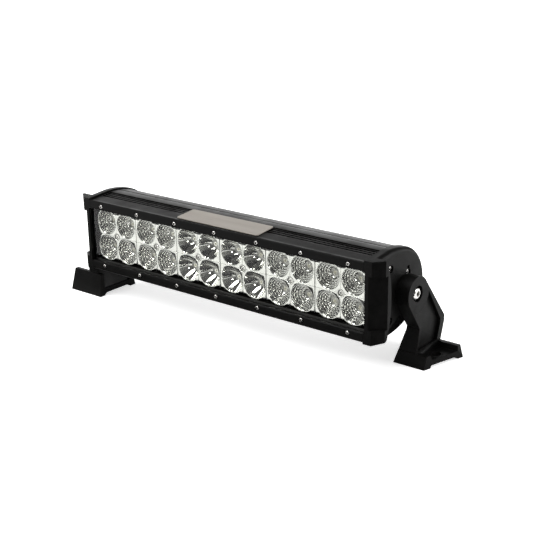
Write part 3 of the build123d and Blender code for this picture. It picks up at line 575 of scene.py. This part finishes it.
def square(side, depth, corner=0.12):
    """A square ring with its corners cut back by a share of its half side."""
    limit = side / 2 * (2 - corner) / sqrt(2)
    return lambda angle: (min(side / 2 / max(abs(cos(angle)), abs(sin(angle))), limit / max(
        abs(cos(angle - pi / 4)), abs(cos(angle + pi / 4)), 1e-6)), depth)


def cross(reach, width, depth):
    """A cross-shaped ring, as in a cross-head screw."""
    def outline(angle):
        long_side = max(abs(cos(angle)), abs(sin(angle)))
        short_side = max(min(abs(cos(angle)), abs(sin(angle))), 1e-6)
        return min(reach / long_side, width / 2 / short_side), depth
    return outline


def softened(node, material, edge, angle=28.0):
    """A merged copy of a frame node with its hard edges rounded, which then stands for it."""
    mesh = frame["nodes"][node].data.copy()
    mesh.materials.clear()
    shell = bmesh.new()
    shell.from_mesh(mesh)
    bmesh.ops.remove_doubles(shell, verts=shell.verts, dist=2e-6)
    bmesh.ops.dissolve_limit(shell, angle_limit=radians(0.4), verts=shell.verts,
                             edges=shell.edges)
    shell.to_mesh(mesh)
    shell.free()
    smooth(mesh, angle)
    piece = link(f"{node}_finished", mesh, material)
    bevel = piece.modifiers.new("rounded edges", "BEVEL")
    bevel.width = edge
    bevel.segments = 2
    bevel.limit_method = "ANGLE"
    bevel.angle_limit = radians(angle)
    bevel.harden_normals = True
    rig.ride(piece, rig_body(node))
    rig.replaces(piece, node)
    return piece


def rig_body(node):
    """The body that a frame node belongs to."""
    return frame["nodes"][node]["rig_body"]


def paint(node, material):
    """Gives a frame node its finish."""
    slots = frame["nodes"][node].data.materials
    slots.clear()
    slots.append(material)


def place_on_points_tree():
    """Sets a shape on every point, turned by a random angle about one axis."""
    known = bpy.data.node_groups.get("place_on_points")
    if known:
        return known
    tree = bpy.data.node_groups.new("place_on_points", "GeometryNodeTree")
    sockets_of(tree, "INPUT", (
        ("Points", "NodeSocketGeometry", None),
        ("Shape", "NodeSocketObject", None),
        ("Finish", "NodeSocketMaterial", None),
        ("Axis", "NodeSocketVector", (0.0, 1.0, 0.0)),
        ("Turn", "NodeSocketFloat", 0.0),
        ("Seed", "NodeSocketInt", 1),
    ))
    sockets_of(tree, "OUTPUT", (("Result", "NodeSocketGeometry", None),))
    given = put(tree, "NodeGroupInput")
    chance = put(tree, "FunctionNodeRandomValue", data_type="FLOAT")
    tree.links.new(given.outputs["Turn"], live(chance.inputs, "Max"))
    tree.links.new(given.outputs["Seed"], live(chance.inputs, "Seed"))
    turned = put(tree, "ShaderNodeVectorMath", {0: given.outputs["Axis"],
                 "Scale": live(chance.outputs, "Value")}, operation="SCALE")
    shape = put(tree, "GeometryNodeObjectInfo", {"Object": given.outputs["Shape"],
                "As Instance": True})
    copies = put(tree, "GeometryNodeInstanceOnPoints", {"Points": given.outputs["Points"],
                 "Instance": shape.outputs["Geometry"], "Rotation": turned.outputs[0]})
    whole = put(tree, "GeometryNodeRealizeInstances", {"Geometry": copies.outputs[0]})
    finish = put(tree, "GeometryNodeSetMaterial", {"Geometry": whole.outputs[0],
                 "Material": given.outputs["Finish"]})
    put(tree, "NodeGroupOutput", {"Result": finish.outputs[0]})
    return tree


def repeated(name, shape_mesh, points, material, body, nodes=(), axis=(0.0, 1.0, 0.0), turn_by=0.0,
             seed=1):
    """A piece made of one shape repeated on points, as a plain mesh that rides a body."""
    tree = place_on_points_tree()
    shape = link("shape", shape_mesh)
    cloud = bpy.data.meshes.new("points")
    cloud.from_pydata([tuple(point) for point in points], [], [])
    host = link("host", cloud)
    modifier = host.modifiers.new("place", "NODES")
    modifier.node_group = tree
    wanted = {"Shape": shape, "Finish": material, "Axis": axis, "Turn": turn_by, "Seed": seed}
    for item in tree.interface.items_tree:
        if item.in_out == "INPUT" and item.name in wanted:
            modifier[item.identifier] = wanted[item.name]
    depsgraph = bpy.context.evaluated_depsgraph_get()
    mesh = bpy.data.meshes.new_from_object(host.evaluated_get(depsgraph))
    for spare in (host, shape):
        bpy.data.objects.remove(spare)
    if not mesh.polygons:
        raise RuntimeError(f"{name} came out empty")
    piece = link(name, mesh)
    if not mesh.materials:
        mesh.materials.append(material)
    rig.ride(piece, body)
    if nodes:
        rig.replaces(piece, *nodes)
    return piece


# ------------------------------------------------------------------ fastener shapes
def button_screw(head_radius, head_height, socket_across, socket_depth, shank_radius, length):
    """Button-head socket screw, head towards -Y, seat at y = 0."""
    socket = socket_across / 2
    rings = [
        ring(shank_radius, length),
        ring(shank_radius, 0.0),
        ring(head_radius * 0.96, 0.0),
        ring(head_radius, -0.12 * head_height),
    ]
    for step in range(1, 7):
        swing = radians(15 * step)
        rings.append(ring(socket * 1.25 + (head_radius - socket * 1.25) * cos(swing),
                          -head_height * (0.12 + 0.88 * sin(swing))))
    rings += [
        hexagon(socket_across * 1.06, -head_height),
        hexagon(socket_across, -head_height * 0.94),
        hexagon(socket_across, -head_height + socket_depth),
        ring(socket * 0.5, -head_height + socket_depth * 1.15),
    ]
    return rings


def pan_screw(head_radius, head_height, slot_width, slot_depth, shank_radius, length):
    """Cross-head pan screw, head towards -Y, seat at y = 0."""
    reach = head_radius * 0.62
    rings = [ring(shank_radius, length), ring(shank_radius, 0.0), ring(head_radius * 0.97, 0.0)]
    for step in range(6):
        swing = radians(18 * step)
        rings.append(ring(reach * 1.15 + (head_radius - reach * 1.15) * cos(swing),
                          -head_height * (0.15 + 0.85 * sin(swing))))
    rings += [
        cross(reach, slot_width, -head_height),
        cross(reach * 0.9, slot_width * 0.85, -head_height + slot_depth),
    ]
    return rings


def facing_x(mesh, side):
    """Turns a shape that faces -Y so that it faces out of one end of the bar."""
    mesh.transform(Matrix.Rotation(radians(90 * side), 4, "Z"))
    return mesh


# ------------------------------------------------------------------ reflectors
def cell_outline(optics, angle, outward_x, outward_z, module_half_width):
    """How far a module's plate runs from a cup's centre in one direction."""
    half_pitch = optics.cup_pitch / 2
    run = cos(angle) * outward_x
    rise = sin(angle) * outward_z
    lobe = optics.cup_radius + optics.cup_wall

    def to_edges(top):
        sides = []
        if abs(run) > 1e-6:
            edge = module_half_width - half_pitch - optics.seam
            sides.append((edge if run > 0 else half_pitch) / abs(run))
        if abs(rise) > 1e-6:
            sides.append((top if rise > 0 else half_pitch) / abs(rise))
        return min(sides)

    reach = min(max(to_edges(optics.plate_half_height - half_pitch), lobe), to_edges(lobe))
    # the quarter of the screw well that falls in this cell
    gap = half_pitch * sqrt(2)
    along = -(run + rise) / sqrt(2) * gap
    beside = gap * gap - along * along
    if along > 0 and beside < optics.well_radius**2:
        reach = min(reach, along - sqrt(optics.well_radius**2 - beside))
    return reach


def cup_rings(optics, stepped, outline):
    """Rings of one cup with its share of the plate, from the throat round to its back."""
    rim = optics.cup_radius
    throat = optics.throat_radius
    swell = (rim**2 - throat**2) / optics.cup_depth
    samples = 6 if stepped else 4
    rows = optics.ring_count * samples

    def bowl(row):
        share_up = row / rows
        height = optics.cup_depth * share_up
        radius = sqrt(throat**2 + swell * height)
        if not stepped:
            return ring(radius, optics.cup_depth - height)
        tier = min(int(share_up * optics.ring_count), optics.ring_count - 1)
        up = share_up * optics.ring_count - tier
        # the facets die out over the last eighth towards the rim and towards the throat
        fade = min(1.0, (1 - share_up) * 8, share_up * 8)

        def faceted(angle):
            sector = angle / tau * optics.facet_count + 0.5 * (tier % 2)
            across = sector - floor(sector)
            crown = (1 - (2 * up - 1) ** 2) * (1 - (2 * across - 1) ** 2)
            lift = fade * (optics.facet_bulge * crown + optics.ring_step * (up - 0.5) * 0.5)
            return radius - LIFT_INWARD * lift, optics.cup_depth - height - LIFT_FORWARD * lift
        return faceted

    lip = 0.3 * MM
    rings = [bowl(row) for row in range(rows)]
    rings += [
        ring(rim, lip),
        ring(rim + 0.3 * lip, 0.25 * lip),
        ring(rim + lip, 0.0),
        lambda angle: (outline(angle) - 0.5 * lip, 0.0),
        lambda angle: (outline(angle), 0.5 * lip),
        lambda angle: (outline(angle), optics.plate_thickness),
        lambda angle: (min(outline(angle) - 0.02 * MM, rim + optics.cup_wall),
                       optics.plate_thickness),
    ]
    for part in (0.7, 0.4, 0.0):
        radius = sqrt(throat**2 + swell * optics.cup_depth * part) + optics.cup_wall
        rings.append(ring(radius, optics.cup_depth * (1 - part)))
    return rings


def reflector_module(node, stepped):
    """One moulded module: four cups, their plate and the ring round the screw."""
    optics = bpy.context.scene.lightbar_optics
    low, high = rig.box(node)
    centre = (low + high) / 2
    half_width = (high.x - low.x) / 2
    skins = []
    for outward_x in (-1, 1):
        for outward_z in (-1, 1):
            place = (centre.x + outward_x * optics.cup_pitch / 2, low.y,
                     centre.z + outward_z * optics.cup_pitch / 2)

            def outline(angle, across=outward_x, up=outward_z):
                return cell_outline(optics, angle, across, up, half_width)

            skins.append(skin(cup_rings(optics, stepped, outline), CUP_SEGMENTS, place,
                              looped=True))
    rise = optics.boss_rise
    boss = [
        ring(optics.well_radius, optics.plate_thickness),
        ring(optics.well_radius, -0.7 * rise),
        ring(optics.well_radius + 0.3 * rise, -rise),
        ring(optics.boss_radius - 0.6 * rise, -rise),
        ring(optics.boss_radius, 0.1 * rise),
        ring(optics.boss_radius, optics.plate_thickness * 0.5),
    ]
    skins.append(skin(boss, BOSS_SEGMENTS, (centre.x, low.y, centre.z), looped=True))
    kind = "flood" if stepped else "spot"
    name = f"{kind}_module_{node[-1]}"
    piece = link(name, join_skins(name, skins, angle=24.0), reflector_metal())
    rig.ride(piece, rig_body(node))
    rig.replaces(piece, node)
    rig.slot(piece, "aluminised_reflector")
    return piece


# ------------------------------------------------------------------ operators
class LIGHTBAR_OT_stage(bpy.types.Operator):
    """Camera, floor and soft studio light"""

    bl_idname = "lightbar.stage"
    bl_label = "Stage"

    def execute(self, context):
        stage = context.scene.lightbar_stage
        self.make_camera(context, stage)
        self.make_floor(stage)
        self.make_flags()
        self.make_sky(context, stage)
        # name, place, width and height in metres, power in watts
        lights = (
            ("back_softbox", (-0.9, 1.3, 0.40), (1.7, 0.6), 8.0),
            ("side_softbox", (1.5, 0.4, 0.7), (0.6, 0.8), 9.0),
            ("rear_right_softbox", (1.1, 1.25, 0.3), (0.8, 0.5), 9.0),
            ("front_left_softbox", (-1.25, -1.35, 0.75), (1.7, 1.1), 6.5),
            ("front_left_spark", (-0.45, -1.15, 0.95), (0.16, 0.16), 2.2),
            ("front_right_spark", (0.95, -1.0, 0.55), (0.16, 0.16), 1.6),
        )
        self.make_sun(context, stage)
        for name, place, extent, power in lights:
            self.make_light(name, Vector(place), extent, power)
        context.scene.view_settings.view_transform = "Standard"
        return {"FINISHED"}

    def make_camera(self, context, stage):
        """Camera that looks at the aim point from the set direction and distance."""
        back = Vector((sin(stage.azimuth) * cos(stage.elevation),
                       -cos(stage.azimuth) * cos(stage.elevation), sin(stage.elevation)))
        level = Vector((0, 0, 1)).cross(back).normalized()
        upright = back.cross(level)
        right = level * cos(stage.roll) + upright * sin(stage.roll)
        up = upright * cos(stage.roll) - level * sin(stage.roll)
        aim = Vector((stage.aim_x, FACE_Y, AXIS_Z + stage.aim_rise))
        view = Matrix((right, up, back)).transposed().to_4x4()
        view.translation = aim + back * stage.distance
        data = bpy.data.cameras.new("camera")
        data.lens = stage.lens
        data.clip_start = 0.02
        camera = bpy.data.objects.new("camera", data)
        context.scene.collection.objects.link(camera)
        camera.matrix_world = view
        context.scene.camera = camera

    def make_floor(self, stage):
        """Pale floor that the feet stand on."""
        reach = 6.0
        mesh = flat_sheet("floor", -reach, reach, -reach, reach, CAD_BOX[0].z)
        tone = stage.floor_tone
        paper = surface("pale_floor", (tone, tone, tone), (tone * 0.99, tone * 0.99, tone * 0.985),
                        0.85, shine=0.1, fine=300.0, cloud=3.0, bump=0.02)
        self.lift_for_camera(paper, stage.floor_lift)
        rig.stage(link("floor", mesh, paper))

    def make_flags(self):
        """Black flags just above the floor, which show only in what the bar reflects."""
        level = CAD_BOX[0].z + 0.3 * MM
        black = surface("black_flag", (0.004, 0.004, 0.004), (0.006, 0.006, 0.006), 0.9, shine=0.0)
        areas = {
            "flag_in_front": (-0.30, 0.30, -0.135, -0.055),
            "flag_at_right": (0.16, 0.70, -0.90, -0.055),
        }
        for name, (left, right, front, back) in areas.items():
            flag = link(name, flat_sheet(name, left, right, front, back, level), black)
            flag.visible_camera = False
            flag.visible_diffuse = False
            flag.visible_shadow = False
            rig.stage(flag)

    def lift_for_camera(self, paper, lift):
        """Brightens the floor for the camera alone."""
        tree = paper.node_tree
        ray = put(tree, "ShaderNodeLightPath")
        glow = put(tree, "ShaderNodeMath", {0: ray.outputs["Is Camera Ray"], 1: lift},
                   operation="MULTIPLY")
        shader = [node for node in tree.nodes if node.bl_idname == "ShaderNodeBsdfPrincipled"][0]
        tree.links.new(glow.outputs[0], shader.inputs["Emission Strength"])
        shader.inputs["Emission Color"].default_value = (1.0, 1.0, 1.0, 1.0)

    def make_sky(self, context, stage):
        """White behind the bar, and a dim even light round it."""
        world = bpy.data.worlds.new("studio")
        context.scene.world = world
        world.use_nodes = True
        tree = world.node_tree
        tree.nodes.clear()
        seen = put(tree, "ShaderNodeBackground", {"Color": (1, 1, 1, 1), "Strength": 1.0})
        cast = put(tree, "ShaderNodeBackground", {"Color": (1.0, 0.99, 0.97, 1),
                   "Strength": stage.sky})
        ray = put(tree, "ShaderNodeLightPath")
        mix = put(tree, "ShaderNodeMixShader", {"Fac": ray.outputs["Is Camera Ray"],
                  1: cast.outputs[0], 2: seen.outputs[0]})
        put(tree, "ShaderNodeOutputWorld", {"Surface": mix.outputs[0]})

    def make_sun(self, context, stage):
        """Broad light from above and in front."""
        data = bpy.data.lights.new("broad_overhead", "SUN")
        data.energy = stage.sun
        data.angle = stage.sun_spread
        light = bpy.data.objects.new("broad_overhead", data)
        context.scene.collection.objects.link(light)
        light.rotation_euler = Vector((-0.25, -0.45, 1.0)).to_track_quat("Z", "Y").to_euler()

    def make_light(self, name, place, extent, power):
        """Softbox aimed at the middle of the bar."""
        data = bpy.data.lights.new(name, "AREA")
        data.shape = "RECTANGLE"
        data.size, data.size_y = extent
        data.energy = power
        light = bpy.data.objects.new(name, data)
        bpy.context.scene.collection.objects.link(light)
        light.location = place
        light.rotation_euler = (place - Vector((0, 0, AXIS_Z))).to_track_quat("Z", "Y").to_euler()
        light.visible_camera = False


class LIGHTBAR_OT_coated_parts(bpy.types.Operator):
    """Housing, bezel strips, end caps and brackets"""

    bl_idname = "lightbar.coated_parts"
    bl_label = "Coated parts"

    def execute(self, context):
        edge = context.scene.lightbar_coat.edge
        for node in ("housing", "bezel_strip_top", "bezel_strip_bottom"):
            softened(node, powder_coat(), edge * 0.6)
        for side in SIDES:
            softened(f"end_cap_{side}", cast_coat(), edge * 2)
            softened(f"bracket_{side}", cast_coat(), edge * 1.6)
        return {"FINISHED"}


class LIGHTBAR_OT_reflectors(bpy.types.Operator):
    """Flood and spot reflector modules"""

    bl_idname = "lightbar.reflectors"
    bl_label = "Reflectors"

    def execute(self, context):
        for node in MODULE_NODES:
            reflector_module(node, stepped=node in FLOOD_NODES)
        return {"FINISHED"}


class LIGHTBAR_OT_emitters(bpy.types.Operator):
    """LED packages with their phosphor and clear domes"""

    bl_idname = "lightbar.emitters"
    bl_label = "Emitters"

    def execute(self, context):
        optics = context.scene.lightbar_optics
        board_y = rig.box("led_packages")[1].y
        thickness = 1.2 * MM
        half = optics.cup_pitch / 2
        places = [
            (middle(node).x + across * half, board_y, AXIS_Z + up * half)
            for node in MODULE_NODES
            for across in (-1, 1)
            for up in (-1, 1)
        ]
        side = optics.emitter_size
        base = [
            square(side, -0.01 * MM),
            square(side, -0.85 * thickness),
            square(side * 0.94, -thickness),
            ring(side * 0.40, -thickness),
            ring(side * 0.38, -0.8 * thickness),
        ]
        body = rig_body("led_packages")
        piece = repeated("emitter_bases", turned_shape("emitter_base", base, segments=48),
                         places, white_ceramic(), body, nodes=("led_packages",))
        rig.slot(piece, "led_phosphor")
        tile = [
            square(side * 0.42, -0.75 * thickness),
            square(side * 0.42, -0.97 * thickness),
            square(side * 0.38, -thickness),
        ]
        piece = repeated("emitter_phosphor", turned_shape("tile", tile, segments=24), places,
                         phosphor_layer(), body)
        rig.slot(piece, "led_phosphor")
        reach = optics.dome_radius
        dome = [ring(reach * 0.99, -0.85 * thickness)]
        for step in range(9):
            swing = radians(10 * step)
            dome.append(ring(reach * cos(swing), -thickness - 0.9 * reach * sin(swing)))
        repeated("emitter_domes", turned_shape("dome", dome, segments=32, angle=60.0), places,
                 clear_surface("clear_silicone", (0.97, 0.97, 0.95), 2.5), body)
        return {"FINISHED"}


class LIGHTBAR_OT_window(bpy.types.Operator):
    """Clear window and its gasket"""

    bl_idname = "lightbar.window"
    bl_label = "Window"

    def execute(self, context):
        paint("lens", clear_surface("clear_window", (0.985, 0.99, 0.98), 0.8))
        paint("lens_gasket", black_rubber())
        return {"FINISHED"}


class LIGHTBAR_OT_bezel_screws(bpy.types.Operator):
    """Socket screws along the bezel"""

    bl_idname = "lightbar.bezel_screws"
    bl_label = "Bezel screws"

    def execute(self, context):
        parts = context.scene.lightbar_fasteners
        low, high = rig.box("bezel_screws")
        radius = parts.bezel_head
        count = 7
        pitch = (high.x - low.x - 2 * radius) / (count - 1)
        height = 1.7 * MM
        seat = low.y + height
        places = [
            (low.x + radius + step * pitch, seat, level)
            for level in (low.z + radius, high.z - radius)
            for step in range(count)
        ]
        shape = button_screw(radius, height, parts.bezel_socket, socket_depth=1.2 * MM,
                             shank_radius=1.25 * MM, length=high.y - seat)
        piece = repeated("bezel_screw_set",
                         turned_shape("bezel_screw", shape, segments=36, angle=SCREW_CREASE),
                         places, bright_steel(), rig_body("bezel_screws"),
                         nodes=("bezel_screws",), turn_by=tau, seed=4)
        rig.slot(piece, "stainless")
        return {"FINISHED"}


class LIGHTBAR_OT_module_screws(bpy.types.Operator):
    """Cross-head screws in the middle of each reflector module"""

    bl_idname = "lightbar.module_screws"
    bl_label = "Module screws"

    def execute(self, context):
        parts = context.scene.lightbar_fasteners
        low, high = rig.box("reflector_screws")
        height = 1.2 * MM
        seat = low.y + height
        places = [(middle(node).x, seat, AXIS_Z) for node in MODULE_NODES]
        shape = pan_screw(parts.module_head, height, slot_width=0.7 * MM, slot_depth=0.8 * MM,
                          shank_radius=1.25 * MM, length=high.y - seat)
        piece = repeated("module_screw_set",
                         turned_shape("module_screw", shape, segments=48, angle=SCREW_CREASE),
                         places, bright_steel(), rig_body("reflector_screws"),
                         nodes=("reflector_screws",), turn_by=tau, seed=7)
        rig.slot(piece, "stainless")
        return {"FINISHED"}


class LIGHTBAR_OT_cap_screws(bpy.types.Operator):
    """Cross-head screws that hold the end caps"""

    bl_idname = "lightbar.cap_screws"
    bl_label = "End cap screws"

    def execute(self, context):
        parts = context.scene.lightbar_fasteners
        for side, outward in zip(SIDES, (-1, 1)):
            node = f"end_cap_screws_{side}"
            low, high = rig.box(node)
            radius = parts.cap_head
            head = 2.4 * MM
            seat = (high.x - head) if outward > 0 else (low.x + head)
            length = high.x - low.x - head
            places = [(seat, low.y + radius, level)
                      for level in (low.z + radius, high.z - radius)]
            places += [(seat, high.y - radius, AXIS_Z + level * parts.rear_cap_rise)
                       for level in (-1, 1)]
            shape = pan_screw(radius, head, slot_width=0.9 * MM, slot_depth=1.4 * MM,
                              shank_radius=1.6 * MM, length=length)
            mesh = facing_x(turned_shape("cap_screw", shape, segments=48, angle=SCREW_CREASE),
                            outward)
            piece = repeated(f"cap_screw_set_{side}", mesh, places, bright_steel(),
                             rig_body(node), nodes=(node,), axis=(1.0, 0.0, 0.0), turn_by=tau,
                             seed=11)
            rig.slot(piece, "stainless")
        return {"FINISHED"}


class LIGHTBAR_OT_pivots(bpy.types.Operator):
    """Pivot bolts, washers and inserts"""

    bl_idname = "lightbar.pivots"
    bl_label = "Pivots"

    def execute(self, context):
        parts = context.scene.lightbar_fasteners
        for side, outward in zip(SIDES, (-1, 1)):
            node = f"pivot_bolt_{side}"
            low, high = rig.box(node)
            head = 3.3 * MM
            seat = (high.x - head) if outward > 0 else (low.x + head)
            centre = (low + high) / 2
            shape = button_screw((high.z - low.z) / 2, head, parts.pivot_socket,
                                 socket_depth=2.2 * MM, shank_radius=3.0 * MM,
                                 length=high.x - low.x - head)
            mesh = facing_x(turned_shape("bolt", shape, segments=60, angle=SCREW_CREASE), outward)
            mesh.transform(Matrix.Translation((seat, centre.y, centre.z)))
            piece = link(f"pivot_bolt_{side}_finished", mesh, bright_steel())
            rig.ride(piece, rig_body(node))
            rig.replaces(piece, node)
            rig.slot(piece, "stainless")
            for kind in ("flat_washer", "lock_washer", "insert"):
                paint(f"pivot_{kind}_{side}", bright_steel())
        return {"FINISHED"}


class LIGHTBAR_OT_name_plate(bpy.types.Operator):
    """Blank name plate on the top of the housing"""

    bl_idname = "lightbar.name_plate"
    bl_label = "Name plate"

    def execute(self, context):
        softened("name_plate", plate_metal(), 0.18 * MM)
        return {"FINISHED"}


class LIGHTBAR_OT_rear_fittings(bpy.types.Operator):
    """Cable gland and breather vent"""

    bl_idname = "lightbar.rear_fittings"
    bl_label = "Rear fittings"

    def execute(self, context):
        for node in ("cable_gland_body", "cable_gland_nut", "breather_vent"):
            softened(node, black_nylon(), 0.3 * MM)
        paint("cable_gland_seal", black_rubber())
        return {"FINISHED"}


class LIGHTBAR_OT_inner_parts(bpy.types.Operator):
    """Boards, pads, gaskets and driver parts inside the housing"""

    bl_idname = "lightbar.inner_parts"
    bl_label = "Inner parts"

    def execute(self, context):
        for node, (name, base, second, roughness, metallic) in INNER_FINISHES.items():
            paint(node, surface(name, base, second, roughness, metallic=metallic, fine=2000.0,
                                cloud=200.0))
        for side in SIDES:
            paint(f"end_cap_gasket_{side}", black_rubber())
        paint("driver_screws", bright_steel())
        return {"FINISHED"}


class LIGHTBAR_PT_panel(bpy.types.Panel):
    """Sidebar panel with the settings and the building steps"""

    bl_idname = "LIGHTBAR_PT_panel"
    bl_label = "Light bar"
    bl_space_type = "VIEW_3D"
    bl_region_type = "UI"
    bl_category = "Light bar"

    def draw(self, context):
        for name, group in SETTINGS:
            box = self.layout.box()
            box.label(text=group.__doc__)
            for prop in group.__annotations__:
                box.prop(getattr(context.scene, name), prop)
        for operator in OPERATORS:
            self.layout.operator(operator.bl_idname)


SETTINGS = (
    ("lightbar_coat", LightBarCoat),
    ("lightbar_optics", LightBarOptics),
    ("lightbar_fasteners", LightBarFasteners),
    ("lightbar_stage", LightBarStage),
)
OPERATORS = (
    LIGHTBAR_OT_stage,
    LIGHTBAR_OT_coated_parts,
    LIGHTBAR_OT_reflectors,
    LIGHTBAR_OT_emitters,
    LIGHTBAR_OT_window,
    LIGHTBAR_OT_bezel_screws,
    LIGHTBAR_OT_module_screws,
    LIGHTBAR_OT_cap_screws,
    LIGHTBAR_OT_pivots,
    LIGHTBAR_OT_name_plate,
    LIGHTBAR_OT_rear_fittings,
    LIGHTBAR_OT_inner_parts,
)


def register():
    """Adds the settings, the operators and the panel."""
    for name, group in SETTINGS:
        bpy.utils.register_class(group)
        setattr(bpy.types.Scene, name, PointerProperty(type=group))
    for operator in OPERATORS:
        bpy.utils.register_class(operator)
    bpy.utils.register_class(LIGHTBAR_PT_panel)


def unregister():
    """Takes them out again."""
    bpy.utils.unregister_class(LIGHTBAR_PT_panel)
    for operator in reversed(OPERATORS):
        bpy.utils.unregister_class(operator)
    for name, group in reversed(SETTINGS):
        delattr(bpy.types.Scene, name)
        bpy.utils.unregister_class(group)


def main():
    """Builds the light bar and writes the frame's box and the finished one."""
    register()
    for operator in OPERATORS:
        getattr(bpy.ops.lightbar, operator.bl_idname.split(".")[1])()
    boxes = {"cad": [list(corner) for corner in CAD_BOX],
             "visual": [list(corner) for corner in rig.bounds()]}
    with open("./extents.json", "w") as report:
        json.dump(boxes, report)


if __name__ == "__main__":
    main()
